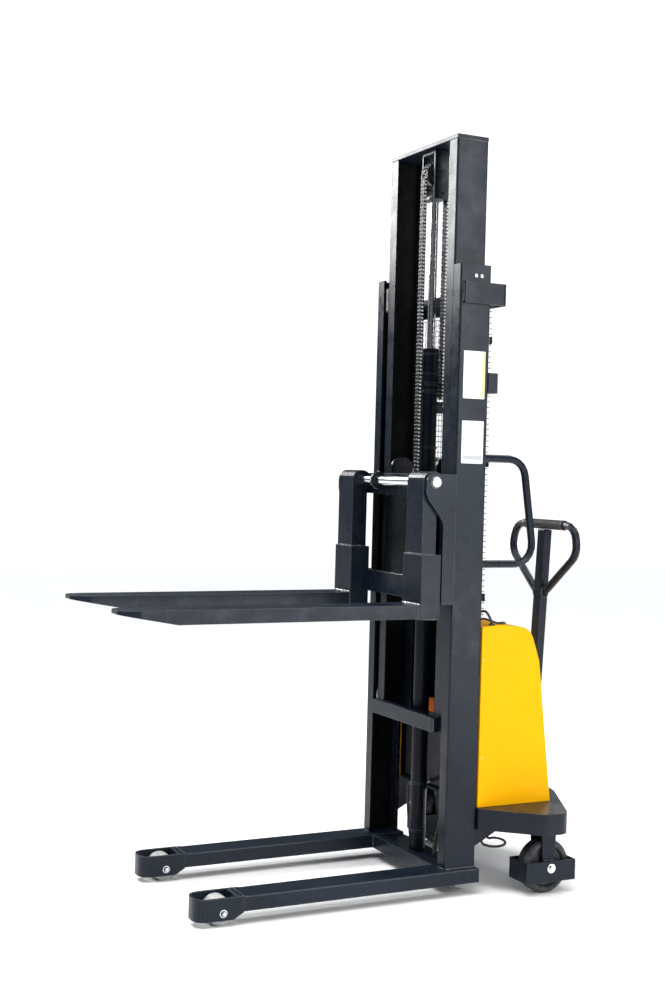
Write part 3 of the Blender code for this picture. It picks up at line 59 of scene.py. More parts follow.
MAST_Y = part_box("outer_upright_left")[0].y
SIDE_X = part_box("outer_upright_left")[1].x
CYLINDER_Y = middle("piston_rod").y
SHEAVE_Z = middle("chain_sheave").z
BAR_Y, BAR_Z = middle("fork_bar").yz
SIDES = (("left", 1), ("right", -1))


# ------------------------ camera
def make_camera():
    azimuth = math.radians(63.504)
    elevation = math.radians(1.07)
    roll = math.radians(1.533)
    back = Vector((math.sin(azimuth) * math.cos(elevation),
                   -math.cos(azimuth) * math.cos(elevation), math.sin(elevation)))
    right = (-back).cross(Vector((0, 0, 1))).normalized()
    up = right.cross(-back)
    turned_right = right * math.cos(roll) + up * math.sin(roll)
    turned_up = up * math.cos(roll) - right * math.sin(roll)
    data = bpy.data.cameras.new("camera")
    data.sensor_fit = "VERTICAL"
    data.sensor_height = 36
    data.sensor_width = 36
    data.lens = 50.536
    camera = bpy.data.objects.new("camera", data)
    bpy.context.scene.collection.objects.link(camera)
    turn = Matrix((turned_right, turned_up, back)).transposed().to_4x4()
    camera.matrix_world = Matrix.Translation((4.21422, -2.12725, 1.38114)) @ turn
    bpy.context.scene.camera = camera


make_camera()


# ------------------------ material nodes
class Mat:
    """A procedural material, built node by node round one Principled shader."""

    def __init__(self, name, rough=0.5, metal=0.0, coat=0.0, specular=0.5):
        self.mat = bpy.data.materials.new(name)
        self.mat.use_nodes = True
        self.tree = self.mat.node_tree
        self.shader = self.tree.nodes["Principled BSDF"]
        for key, value in (("Roughness", rough), ("Metallic", metal), ("Coat Weight", coat),
                           ("Coat Roughness", 0.1), ("Specular IOR Level", specular)):
            self.shader.inputs[key].default_value = value
        self.coords = self.node("ShaderNodeTexCoord").outputs["Object"]
        self.normal = None

    def node(self, kind, **settings):
        made = self.tree.nodes.new(kind)
        for key, value in settings.items():
            setattr(made, key, value)
        return made

    def link(self, out, into):
        self.tree.links.new(out, into)

    def stretched(self, scale):
        mapping = self.node("ShaderNodeMapping")
        mapping.inputs["Scale"].default_value = scale
        self.link(self.coords, mapping.inputs["Vector"])
        return mapping.outputs["Vector"]

    def texture(self, kind, output, inputs, stretch=None, **settings):
        made = self.node("ShaderNodeTex" + kind, **settings)
        for key, value in inputs.items():
            made.inputs[key].default_value = value
        self.link(self.stretched(stretch) if stretch else self.coords, made.inputs["Vector"])
        return made.outputs[output]

    def noise(self, scale, detail=4.0, rough=0.55, stretch=None):
        return self.texture("Noise", "Fac", {"Scale": scale, "Detail": detail, "Roughness": rough}, stretch)

    def cells(self, scale):
        return self.texture("Voronoi", "Distance", {"Scale": scale}, feature="F1")

    def wave(self, scale, distortion):
        return self.texture("Wave", "Fac", {"Scale": scale, "Distortion": distortion},
                            bands_direction="DIAGONAL")

    def spread(self, value, low, high, start=0.3, end=0.7):
        made = self.node("ShaderNodeMapRange")
        made.clamp = True
        for key, number in (("From Min", start), ("From Max", end), ("To Min", low), ("To Max", high)):
            made.inputs[key].default_value = number
        self.link(value, made.inputs["Value"])
        return made.outputs["Result"]

    def maths(self, operation, first, second):
        made = self.node("ShaderNodeMath", operation=operation)
        for index, value in enumerate((first, second)):
            if isinstance(value, (int, float)):
                made.inputs[index].default_value = value
            else:
                self.link(value, made.inputs[index])
        return made.outputs["Value"]

    def blend(self, factor, first, second):
        """Mixes two colours, each a tuple or a socket, by a factor."""
        made = self.node("ShaderNodeMix", data_type="RGBA")
        self.link(factor, made.inputs["Factor"])
        for key, value in ((6, first), (7, second)):
            if isinstance(value, tuple):
                made.inputs[key].default_value = (*value, 1.0)
            else:
                self.link(value, made.inputs[key])
        return made.outputs[2]

    def tones(self, scale, detail, first, second):
        """Two colours mixed by a cloud."""
        return self.blend(self.spread(self.noise(scale, detail), 0.0, 1.0), first, second)

    def vector(self, operation, first, second):
        """Vector maths on a socket and a second socket or tuple."""
        made = self.node("ShaderNodeVectorMath", operation=operation)
        self.link(first, made.inputs[0])
        if isinstance(second, tuple):
            made.inputs[1].default_value = second
        else:
            self.link(second, made.inputs[1])
        return made.outputs["Value" if operation == "DOT_PRODUCT" else "Vector"]

    def colour(self, socket):
        self.link(socket, self.shader.inputs["Base Color"])

    def rough(self, socket):
        self.link(socket, self.shader.inputs["Roughness"])

    def gloss(self, low, high, *cloud, **settings):
        """Roughness that a cloud moves between low and high."""
        self.rough(self.spread(self.noise(*cloud, **settings), low, high))

    def bump(self, height, strength, distance=0.001):
        made = self.node("ShaderNodeBump")
        made.inputs["Strength"].default_value = strength
        made.inputs["Distance"].default_value = distance
        self.link(height, made.inputs["Height"])
        if self.normal is not None:
            self.link(self.normal, made.inputs["Normal"])
        self.normal = made.outputs["Normal"]
        self.link(self.normal, self.shader.inputs["Normal"])

    def inward(self, centre, scale=(1.0, 1.0, 1.0)):
        """A mask of the faces that look towards a centre."""
        outward = self.vector("MULTIPLY", self.vector("SUBTRACT", self.coords, centre), scale)
        normal = self.node("ShaderNodeNewGeometry").outputs["Normal"]
        return self.spread(self.vector("DOT_PRODUCT", outward, normal), 1.0, 0.0, -0.01, 0.0)

    def soft_edges(self, radius):
        """Rounds the shading over sharp edges, and gives a mask of where those edges are."""
        bevel = self.node("ShaderNodeBevel", samples=4)
        bevel.inputs["Radius"].default_value = radius
        self.normal = bevel.outputs["Normal"]
        self.link(self.normal, self.shader.inputs["Normal"])
        flat = self.node("ShaderNodeNewGeometry").outputs["Normal"]
        return self.spread(self.vector("DOT_PRODUCT", self.normal, flat), 1.0, 0.0, 0.8, 0.995)


def charcoal(name="charcoal_paint", lift=1.0, edge_wear_and_highlight=0.45, specular=0.2, shade_inner_faces=False, edge_highlight=0.2):
    m = Mat(name, rough=0.36, specular=specular)
    edge = m.soft_edges(0.0022)
    dark = (0.0042 * lift, 0.0074 * lift, 0.013 * lift)
    light = (0.0085 * lift, 0.0135 * lift, 0.0225 * lift)
    base = m.tones(5.0, 5.0, dark, light)
    dust = m.spread(m.noise(38.0, 6.0, 0.7), 0.0, 0.35, 0.55, 0.85)
    dusty = m.blend(dust, base, (0.022, 0.03, 0.042))
    # Every sharp edge is lightened towards light grey. The lower bound of the range is a painted highlight on
    # all edges, and the noise above it stands for paint chips.
    chips_and_edge_highlight = m.maths("MULTIPLY", edge, m.spread(m.noise(70.0, 5.0, 0.7), edge_highlight, edge_wear_and_highlight, 0.46, 0.66))
    painted = m.blend(chips_and_edge_highlight, dusty, (0.3, 0.32, 0.35))
    roughness = m.spread(m.noise(16.0, 6.0, 0.65), 0.21, 0.4)
    # Painted shade: the channel faces that look in towards the middle (x = 0) are coloured near-black, with
    # more roughness and less specular, to stand for the deep shade inside the mast.
    if shade_inner_faces:
        inside = m.inward((0.0, 0.0, 0.0), (1.0, 0.0, 0.0))
        painted_channel_shade = m.tones(30.0, 6.0, (0.0015, 0.0016, 0.0018), (0.006, 0.0062, 0.0066))
        painted = m.blend(inside, painted, painted_channel_shade)
        roughness = m.maths("ADD", roughness, m.maths("MULTIPLY", inside, 0.3))
        m.link(m.maths("SUBTRACT", specular, m.maths("MULTIPLY", inside, specular * 0.8)),
               m.shader.inputs["Specular IOR Level"])
    m.colour(painted)
    m.rough(roughness)
    m.bump(m.noise(420.0, 2.0), 0.1, 0.0006)
    m.bump(m.noise(9.0, 4.0, 0.6, stretch=(1.0, 1.0, 0.25)), 0.05, 0.004)
    return m.mat


def yellow_paint():
    m = Mat("yellow_paint", rough=0.42, specular=0.06)
    edge = m.soft_edges(0.004)
    base = m.tones(2.2, 3.0, (0.815, 0.378, 0.0002), (0.855, 0.415, 0.0004))
    smudge = m.spread(m.noise(14.0, 8.0, 0.72), 0.0, 0.14, 0.58, 0.8)
    marked = m.blend(smudge, base, (0.58, 0.32, 0.006))
    # Painted highlight: the cover's edges are lightened towards a paler yellow, in noise-varied patches.
    edge_highlight = m.maths("MULTIPLY", edge, m.spread(m.noise(45.0, 5.0), 0.0, 0.35, 0.48, 0.7))
    outside = m.blend(edge_highlight, marked, (0.92, 0.62, 0.08))
    # Painted shade: the cover's faces that look in towards its middle are coloured near-black.
    painted_cover_inner_shade = m.tones(40.0, 5.0, (0.01, 0.01, 0.011), (0.022, 0.022, 0.024))
    inside = m.inward((0.0, MAST_Y + 0.27, 0.59))
    m.colour(m.blend(inside, outside, painted_cover_inner_shade))
    m.gloss(0.27, 0.42, 22.0, 5.0)
    m.bump(m.noise(260.0, 2.0), 0.08, 0.0006)
    m.bump(m.noise(5.0, 3.0), 0.06, 0.006)
    return m.mat


def metal(name, low, high, rough, grain=(1.0, 1.0, 1.0), scale=60.0, spots=None, strength=0.05):
    m = Mat(name, rough=rough, metal=1.0)
    m.soft_edges(0.0008)
    plain_metal = m.tones(scale * 0.15, 4.0, low, high)
    if spots:
        stain = m.spread(m.noise(scale * 0.5, 7.0, 0.7), 0.0, 0.8, 0.52, 0.72)
    m.colour(m.blend(stain, plain_metal, spots) if spots else plain_metal)
    m.gloss(rough * 0.75, rough * 1.35, scale, 5.0, 0.6, stretch=grain)
    m.bump(m.noise(scale * 5.0, 2.0, 0.5, stretch=grain), strength, 0.0004)
    return m.mat


def plastic(name, low, high, rough, grain=300.0, strength=0.12, scale=12.0):
    m = Mat(name, rough=rough)
    m.soft_edges(0.0012)
    m.colour(m.tones(scale, 5.0, low, high))
    m.rough(m.spread(m.noise(scale * 3.0, 5.0), rough * 0.85, min(1.0, rough * 1.2)))
    m.bump(m.noise(grain, 3.0), strength, 0.0006)
    return m.mat


def tyre():
    m = Mat("tyre_rubber", rough=0.75)
    scuff = m.spread(m.noise(24.0, 8.0, 0.75), 0.0, 1.0, 0.4, 0.68)
    m.colour(m.blend(scuff, (0.012, 0.013, 0.015), (0.085, 0.088, 0.094)))
    m.gloss(0.62, 0.88, 40.0, 5.0)
    m.bump(m.cells(260.0), 0.3, 0.0008)
    m.bump(m.noise(90.0, 6.0, 0.7), 0.35, 0.0012)
    return m.mat


def roller_nylon():
    m = Mat("roller_nylon", rough=0.45)
    m.soft_edges(0.0015)
    scuff = m.spread(m.noise(30.0, 8.0, 0.7), 0.0, 1.0, 0.42, 0.66)
    m.colour(m.blend(scuff, (0.48, 0.48, 0.47), (0.2, 0.2, 0.2)))
    m.gloss(0.38, 0.62, 50.0, 5.0)
    m.bump(m.noise(120.0, 5.0, 0.6), 0.18, 0.0008)
    return m.mat


def grip_rubber():
    m = Mat("grip_rubber", rough=0.62)
    m.colour(m.tones(20.0, 6.0, (0.012, 0.012, 0.014), (0.03, 0.031, 0.034)))
    m.gloss(0.52, 0.75, 60.0, 4.0)
    m.bump(m.cells(520.0), 0.25, 0.0006)
    return m.mat


def hose_rubber():
    """Rubber over a woven braid, so fine crossed ridges show."""
    m = Mat("hose_rubber", rough=0.5)
    m.colour(m.tones(40.0, 5.0, (0.01, 0.01, 0.012), (0.026, 0.027, 0.03)))
    m.bump(m.wave(330.0, 0.6), 0.25, 0.0006)
    m.gloss(0.4, 0.62, 70.0, 4.0)
    return m.mat


def label_vinyl(name, colour, tint):
    m = Mat(name, rough=0.34, coat=0.2)
    m.colour(m.tones(9.0, 5.0, colour, tint))
    m.gloss(0.28, 0.45, 30.0, 5.0)
    m.bump(m.noise(60.0, 4.0), 0.06, 0.0008)
    return m.mat


M = {
    "charcoal": charcoal(),
    # Mast uprights: painted shade on the inward channel faces.
    "charcoal_mast": charcoal("charcoal_mast", 1.1, 0.35, shade_inner_faces=True),
    "platform": charcoal("platform_paint", 0.9, 0.65, specular=0.22),
    # Forks: a strong painted edge highlight on every edge, with chips above it.
    "fork": charcoal("fork_paint", 1.15, 0.95, edge_highlight=0.6),
    # Painted shade: a darker, duller copy of the charcoal paint for the lift cylinder and the roller
    # brackets, which sit in shade.
    "shaded_charcoal": charcoal("charcoal_painted_shade", 0.55, 0.15, specular=0.14),
    "yellow": yellow_paint(),
    "chrome": metal("bright_chrome", (0.86, 0.87, 0.89), (0.93, 0.93, 0.94), 0.13,
                    (30.0, 30.0, 1.0), 30.0, strength=0.03),
    "zinc": metal("zinc_plate", (0.62, 0.63, 0.65), (0.8, 0.8, 0.81), 0.3, scale=90.0,
                  spots=(0.46, 0.45, 0.42)),
    "wire": metal("zinc_wire", (0.74, 0.75, 0.77), (0.9, 0.9, 0.91), 0.28, scale=140.0),
    "steel": metal("oiled_steel", (0.22, 0.22, 0.23), (0.4, 0.4, 0.41), 0.34, scale=80.0,
                   spots=(0.12, 0.1, 0.08), strength=0.12),
    "chain": metal("chain_plate", (0.022, 0.022, 0.024), (0.07, 0.07, 0.074), 0.4, scale=90.0,
                   spots=(0.05, 0.04, 0.03), strength=0.12),
    # Painted highlight: the chain pins are a diffuse near-white, standing for the glints on their heads.
    "painted_glint_white": plastic("chain_pin_painted_glint", (0.7, 0.7, 0.7), (0.88, 0.88, 0.87), 0.25, strength=0.03),
    "weld": metal("weld_bead", (0.055, 0.06, 0.068), (0.16, 0.17, 0.18), 0.42, scale=160.0,
                  strength=0.25),
    # Bright metal for the fork foot weld bead and for the painted edge highlight on the carriage foot plate.
    "bright_bead_and_edge_highlight": metal("bright_bead_and_edge_highlight", (0.42, 0.43, 0.45), (0.7, 0.71, 0.73), 0.3,
                         scale=160.0, strength=0.25),
    "brass": metal("brass_fitting", (0.55, 0.36, 0.1), (0.72, 0.5, 0.17), 0.28, scale=110.0,
                   spots=(0.3, 0.2, 0.08)),
    "nylon": roller_nylon(),
    "tyre": tyre(),
    "grip": grip_rubber(),
    "hose": hose_rubber(),
    "battery": plastic("battery_case", (0.02, 0.02, 0.023), (0.04, 0.041, 0.045), 0.5),
    "connector": plastic("connector_orange", (0.5, 0.09, 0.01), (0.64, 0.14, 0.02), 0.42),
    "red": plastic("stop_red", (0.5, 0.01, 0.01), (0.62, 0.02, 0.018), 0.28, strength=0.04),
    "hub": plastic("hub_grey", (0.3, 0.3, 0.3), (0.42, 0.42, 0.42), 0.45),
    "label": label_vinyl("label_white", (0.8, 0.81, 0.82), (0.72, 0.73, 0.75)),
    "label_edge": label_vinyl("label_yellow", (0.72, 0.62, 0.22), (0.6, 0.5, 0.16)),
    "label_grey": label_vinyl("label_grey", (0.42, 0.43, 0.45), (0.34, 0.35, 0.37)),
}

NODE_FINISH = (
    ("outer_upright", "charcoal_mast"), ("inner_upright", "charcoal_mast"),
    ("platform", "platform"), ("lift_cylinder", "shaded_charcoal"), ("roller_bracket", "shaded_charcoal"),
    ("cover", "yellow"), ("fork_bar_collar", "charcoal"), ("fork_bar", "chrome"),
    ("fork_", "fork"), ("leg_", "fork"), ("carriage_plate", "fork"),
    ("piston_rod", "chrome"), ("guide_pad", "nylon"), ("load_roller", "nylon"),
    ("castor_wheel", "tyre"), ("tiller_grip", "grip"), ("lift_lever", "grip"),
    ("battery_cable", "hose"), ("hydraulic_hose", "hose"), ("mast_roller", "steel"),
    ("carriage_roller", "steel"), ("chain_", "steel"), ("battery", "battery"),
    ("oil_tank", "battery"), ("power_connector", "connector"), ("emergency_stop", "red"),
    ("mesh_guard", "wire"),
)


def finish_nodes():
    for name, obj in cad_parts.items():
        key = next((f for start, f in NODE_FINISH if name.startswith(start)), "charcoal")
        obj.data.materials.clear()
        obj.data.materials.append(M[key])


finish_nodes()


# ------------------------ shapes
def facing(point, direction):
    """The place of a piece drawn upright at the origin, stood on a point along a direction."""
    turn = Vector((0, 0, 1)).rotation_difference(Vector(direction)).to_matrix().to_4x4()
    return Matrix.Translation(point) @ turn


def lathe(bm, profile, place, steps=24):
    """Turns (radius, height) points about the axis of place. A radius of 0 closes an end."""
    rings = []
    for radius, height in profile:
        if radius < 1e-6:
            rings.append([bm.verts.new(place @ Vector((0, 0, height)))])
            continue
        rings.append([bm.verts.new(place @ Vector((radius * math.cos(a), radius * math.sin(a), height)))
                      for a in circle(steps)])
    for low, high in zip(rings, rings[1:]):
        for i in range(steps):
            j = (i + 1) % steps
            if len(low) == 1:
                bm.faces.new((low[0], high[j], high[i]))
            elif len(high) == 1:
                bm.faces.new((low[i], low[j], high[0]))
            else:
                bm.faces.new((low[i], low[j], high[j], high[i]))


def ring(bm, profile, place, steps=32):
    """Turns a closed (radius, height) loop, such as a bush or a washer."""
    loops = [[bm.verts.new(place @ Vector((r * math.cos(a), r * math.sin(a), h))) for r, h in profile]
             for a in circle(steps)]
    count = len(profile)
    for i in range(steps):
        for k in range(count):
            j, n = (i + 1) % steps, (k + 1) % count
            bm.faces.new((loops[i][k], loops[j][k], loops[j][n], loops[i][n]))


def circle(count, start=0.0):
    """Evenly spaced angles round a full turn."""
    return [2 * math.pi * (i + start) / count for i in range(count)]


def cube(bm, place, size):
    for v in bmesh.ops.create_cube(bm, size=1.0)["verts"]:
        v.co = place @ Vector([c * s for c, s in zip(v.co, size)])


def prism(bm, outline, low, high, place=Matrix.Identity(4)):
    """An outline drawn in the place's XY plane, run from low to high."""
    bottom = [bm.verts.new(place @ Vector((x, y, low))) for x, y in outline]
    top = [bm.verts.new(place @ Vector((x, y, high))) for x, y in outline]
    count = len(outline)
    bm.faces.new(list(reversed(bottom)))
    bm.faces.new(top)
    for i in range(count):
        j = (i + 1) % count
        bm.faces.new((bottom[i], bottom[j], top[j], top[i]))


def pipe(bm, points, radius, sides=10, closed=False, radii=None):
    """A tube along points, with an even frame carried from one to the next."""
    points = [Vector(p) for p in points]
    count = len(points)
    rings = []
    up = None
    for i, point in enumerate(points):
        ahead = points[(i + 1) % count] if closed or i < count - 1 else point
        behind = points[i - 1] if closed or i > 0 else point
        along = (ahead - behind).normalized()
        if up is None:
            up = along.orthogonal().normalized()
        up = (up - along * up.dot(along)).normalized()
        side = along.cross(up)
        r = radii[i] if radii else radius
        rings.append([bm.verts.new(point + (up * math.cos(a) + side * math.sin(a)) * r)
                      for a in circle(sides)])
    for i in range(count if closed else count - 1):
        low, high = rings[i], rings[(i + 1) % count]
        for k in range(sides):
            n = (k + 1) % sides
            bm.faces.new((low[k], low[n], high[n], high[k]))
    if not closed:
        bm.faces.new(list(reversed(rings[0])))
        bm.faces.new(rings[-1])


def smooth_path(corners, steps=10):
    """A smooth curve through points."""
    pts = [Vector(c) for c in corners]
    pts = [pts[0] * 2 - pts[1], *pts, pts[-1] * 2 - pts[-2]]
    out = []
    for a, b, c, d in zip(pts, pts[1:], pts[2:], pts[3:]):
        for k in range(steps):
            t = k / steps
            out.append(0.5 * ((2 * b) + (c - a) * t + (2 * a - 5 * b + 4 * c - d) * t * t
                              + (3 * b - a - 3 * c + d) * t ** 3))
    out.append(pts[-2])
    return out


def block(bm, low, high, bevel=0.0):
    made = bmesh.ops.create_cube(bm, size=1.0)["verts"]
    low, high = Vector(low), Vector(high)
    size = high - low
    for v in made:
        v.co = Vector((v.co.x * size.x, v.co.y * size.y, v.co.z * size.z)) + (low + high) / 2
    if bevel:
        edges = list({e for v in made for e in v.link_edges})
        bmesh.ops.bevel(bm, geom=edges, offset=bevel, segments=2, affect="EDGES", profile=0.7)


def piece(name, bm, finish, body=None, angle=35):
    bmesh.ops.recalc_face_normals(bm, faces=bm.faces)
    mesh = bpy.data.meshes.new(name)
    bm.to_mesh(mesh)
    bm.free()
    mesh.materials.append(M[finish])
    mesh.shade_smooth()
    mesh.set_sharp_from_angle(angle=math.radians(angle))
    obj = bpy.data.objects.new(name, mesh)
    bpy.context.scene.collection.objects.link(obj)
    if body:
        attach(obj, body)
    return obj


def bolt(bm, point, direction, size=0.012, height=None, washer=True):
    """A hex head with a chamfered crown on a washer, stood on a surface."""
    place = facing(point, direction)
    height = height or size * 0.62
    base = 0.0
    if washer:
        base = size * 0.16
        lathe(bm, [(0, -0.001), (size * 1.08, -0.001), (size * 1.08, base * 0.8),
                   (size * 1.0, base), (0, base)], place, 24)
    head = [(size * 0.86 * math.cos(a), size * 0.86 * math.sin(a))
            for a in circle(6, 0.3)]
    prism(bm, head, base, base + height * 0.85, place)
    lathe(bm, [(0, base + height * 0.84), (size * 0.74, base + height * 0.84),
               (size * 0.6, base + height), (0, base + height)], place, 24)


def cap_screw(bm, point, direction, size=0.008):
    """A domed head with a socket sunk in it."""
    place = facing(point, direction)
    lathe(bm, [(0, -0.001), (size, -0.001), (size, size * 0.25), (size * 0.86, size * 0.52),
               (size * 0.5, size * 0.66), (size * 0.42, size * 0.66), (size * 0.38, size * 0.3),
               (0, size * 0.3)], place, 20)


def weld(bm, start, end, radius=0.0035, pitch=0.004, bow=(0, 0, 0)):
    """A rippled bead along a seam."""
    start, end, bow = Vector(start), Vector(end), Vector(bow)
    length = (end - start).length
    steps = max(6, int(length / pitch) * 3)
    points = []
    radii = []
    for i in range(steps + 1):
        t = i / steps
        wobble = math.sin(i * 1.7 + length * 40) * radius * 0.1
        points.append(start.lerp(end, t) + bow * (4 * t * (1 - t)) + Vector((0, 0, wobble)))
        fade = min(1.0, t * steps / 3 + 0.35, (1 - t) * steps / 3 + 0.35)
        radii.append(radius * fade * (1.0 + 0.16 * math.sin(2 * math.pi * i / 3)))
    pipe(bm, points, radius, 8, radii=radii)


def rippled(radius, count):
    """The radii of a closed weld bead."""
    return [radius * (1 + 0.18 * math.sin(k * 2.1)) for k in range(count)]


# ------------------------ the leaf chain
PITCH = 0.0127
LINK_HALF = 0.0056
PLATE = 0.003


def link_outline(length):
    """A figure-of-eight side plate with a waist, its two pins on the X axis."""
    out = []
    for centre, start in ((length, -100), (0.0, 80)):
        for k in range(9):
            a = math.radians(start + 200 * k / 8)
            out.append((centre + LINK_HALF * math.cos(a), LINK_HALF * math.sin(a)))
        out.append((length / 2, (0.72 if start < 0 else -0.72) * LINK_HALF))
    return out


def chain_strand(name, points, node):
    """Links between points a pitch apart: stacked plates, every second pitch inset, on pins in a near-white
    finish that paints their glints.
    """
    plates = bmesh.new()
    pins = bmesh.new()
    across = Vector((1, 0, 0))
    for i, (a, b) in enumerate(zip(points, points[1:])):
        length = (b - a).length
        along = (b - a).normalized()
        turn = Matrix((along, across.cross(along), across)).transposed().to_4x4()
        place = Matrix.Translation(a) @ turn
        for x in (-0.0108, -0.0036, 0.0036, 0.0108) if i % 2 else (-0.0072, 0.0, 0.0072):
            prism(plates, link_outline(length), x - PLATE / 2, x + PLATE / 2, place)
    for a in points:
        place = facing(a - across * 0.014, across)
        lathe(pins, [(0, 0), (0.003, 0), (0.0035, 0.0005), (0.0035, 0.0275), (0.003, 0.028),
                     (0, 0.028)], place, 12)
    chain = piece(name, plates, "chain")
    pin_obj = piece(name + "_pins", pins, "painted_glint_white")
    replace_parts(chain, node)
    return chain, pin_obj


def chains():
    radius = 0.045
    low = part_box("chain_front")[0]
    y = CYLINDER_Y - radius
    count = int((SHEAVE_Z - low.z - 0.008) / PITCH)
    front = [Vector((0, y, SHEAVE_Z - 0.01 - k * PITCH)) for k in range(count)]
    made = chain_strand("leaf_chain_front", front, "chain_front")
    for obj in made:
        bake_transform(obj)
    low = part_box("chain_rear")[0]
    y = CYLINDER_Y + radius
    count = int((SHEAVE_Z - low.z - 0.004) / PITCH)
    rear = [Vector((0, y, SHEAVE_Z - k * PITCH)) for k in range(count, 0, -1)]
    wrap = int(math.pi * radius / PITCH)
    for k in range(wrap + 1):
        a = math.pi * k / wrap
        rear.append(Vector((0, CYLINDER_Y + radius * math.cos(a), SHEAVE_Z + radius * math.sin(a))))
    made = chain_strand("leaf_chain_rear", rear, "chain_rear")
    for obj in made:
        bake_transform(obj)
    clevis = bmesh.new()
    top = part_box("carriage_beam")[1].z
    block(clevis, (-0.0165, CYLINDER_Y - radius - 0.0055, top - 0.012),
          (0.0165, CYLINDER_Y - radius + 0.0055, top + 0.008), 0.0015)
    for x in (-0.0172, 0.0172):
        bolt(clevis, (x, CYLINDER_Y - radius, top - 0.002), (1 if x > 0 else -1, 0, 0), 0.005, washer=False)
    piece("chain_clevis", clevis, "zinc", "carriage")
    anchor = bmesh.new()
    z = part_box("chain_rear")[0].z
    for x in (-0.0185, 0.0185):
        bolt(anchor, (x, CYLINDER_Y + radius, z - 0.014), (1 if x > 0 else -1, 0, 0), 0.007, washer=False)
    piece("anchor_bolts", anchor, "zinc", "chassis")


chains()


# ------------------------ the wire mesh guard
def mesh_guard():
    low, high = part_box("mesh_guard")
    y = (low.y + high.y) / 2
    wire = 0.00155
    weave = wire * 0.29
    bm = bmesh.new()
    across = 26
    rows = 54
    width = (high.x - low.x - 0.008) / across
    rise = (high.z - low.z - 0.008) / rows
    x0 = low.x + 0.004
    z0 = low.z + 0.004
    for i in range(1, across):
        x = x0 + i * width
        pipe(bm, [(x, y - weave, z0), (x, y - weave, high.z - 0.004)], wire, 6)
    for k in range(1, rows):
        z = z0 + k * rise
        pipe(bm, [(low.x, y + weave, z), (0, y + weave, z), (high.x, y + weave, z)], wire, 6)
    rim = 0.002
    for z in (low.z + rim, high.z - rim):
        pipe(bm, [(low.x, y, z), (high.x, y, z)], rim, 8)
    guard = piece("wire_guard", bm, "wire", "chassis", 60)
    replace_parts(guard, "mesh_guard")
    tabs = bmesh.new()
    for z in (low.z + 0.06, (low.z + high.z) / 2, high.z - 0.1):
        for side in (-1, 1):
            x = side * (high.x - 0.004)
            block(tabs, (x - 0.012, y - 0.0035, z - 0.013), (x + 0.012, y - 0.0018, z + 0.013), 0.0006)
            bolt(tabs, (x, y + 0.0018, z), (0, 1, 0), 0.005)
    piece("guard_clips", tabs, "zinc", "chassis")


mesh_guard()


# ------------------------ mast
def mast_details():
    bolts = bmesh.new()
    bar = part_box("rear_crossbar")
    for side in (-1, 1):
        for dy in (0.057, 0.079):
            cap_screw(bolts, (side * SIDE_X, MAST_Y + dy, 2.043), (side, 0, 0), 0.0075)
        for dz in (0.018, 0.049):
            bolt(bolts, (side * 0.266, bar[1].y, bar[0].z + dz), (0, 1, 0), 0.008)
    piece("mast_bolts", bolts, "zinc", "chassis")

    beads = bmesh.new()
    for side in (1, -1):
        x = side * SIDE_X - side * 0.001
        foot = 0.0895
        weld(beads, (x, MAST_Y + 0.004, foot), (x, MAST_Y + 0.113, foot), 0.0035)
        weld(beads, (side * 0.244, MAST_Y - 0.0005, foot), (side * 0.282, MAST_Y - 0.0005, foot), 0.003)
        weld(beads, (side * 0.205, MAST_Y - 0.002, 0.046), (side * 0.205, MAST_Y - 0.002, 0.086), 0.003)
        strap_x = side * (SIDE_X + 0.0012)
        weld(beads, (strap_x, MAST_Y + 0.0115, 1.955), (strap_x, MAST_Y + 0.0115, 2.018), 0.0028)
        gusset = side * 0.2615
        weld(beads, (gusset, MAST_Y + 0.118, 0.155), (gusset, MAST_Y + 0.118, 0.212), 0.0028)
        for z in (1.446, 1.094):
            pts = [(side * 0.262 + 0.0145 * math.cos(a), MAST_Y + 0.1188, z + 0.0145 * math.sin(a))
                   for a in circle(40)]
            pipe(beads, pts, 0.003, 8, closed=True, radii=rippled(0.003, 40))
    piece("mast_welds", beads, "weld", "chassis")

    inner = bmesh.new()
    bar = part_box("inner_crossbar")
    for side in (-1, 1):
        for k in range(5):
            z = bar[0].z + 0.006 + k * 0.0095
            place = facing((side * (bar[1].x - 0.012), bar[0].y, z), (0, -1, 0))
            lathe(inner, [(0, -0.0005), (0.003, -0.0005), (0.0026, 0.0012), (0, 0.0018)], place, 12)
        weld(inner, (side * 0.2095, bar[0].y + 0.004, bar[0].z + 0.003),
             (side * 0.2095, bar[0].y + 0.004, bar[1].z - 0.003), 0.0028)
        weld(inner, (side * 0.2, bar[1].y + 0.0006, bar[1].z - 0.0006),
             (side * 0.18, bar[1].y + 0.0006, bar[1].z - 0.0006), 0.0022)
    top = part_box("inner_top_plate")
    for side in (-1, 1):
        weld(inner, (side * 0.2262, top[0].y + 0.003, top[0].z - 0.0004),
             (side * 0.2262, top[1].y - 0.003, top[0].z - 0.0004), 0.0022)
    piece("inner_mast_welds", inner, "weld", "inner_mast")
    heads = bmesh.new()
    for side in (-1, 1):
        for dy in (0.025, -0.025):
            bolt(heads, (side * 0.02, CYLINDER_Y + dy, top[0].z - 0.013), (0, 0, -1), 0.006)
    low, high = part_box("sheave_bracket")
    for side in (-1, 1):
        x = side * high.x
        place = facing((x - side * 0.002, CYLINDER_Y, SHEAVE_Z), (side, 0, 0))
        ring(heads, [(0.0055, 0.0), (0.015, 0.0), (0.015, 0.0022), (0.0142, 0.0028),
                     (0.0055, 0.0028)], place, 28)
        cap_screw(heads, (side * 0.045, CYLINDER_Y - 0.006, high.z - 0.02), (side, 0, 0), 0.006)
        cap_screw(heads, (side * 0.045, CYLINDER_Y + 0.006, low.z + 0.022), (side, 0, 0), 0.006)
    piece("bracket_bolts", heads, "charcoal", "inner_mast")


mast_details()


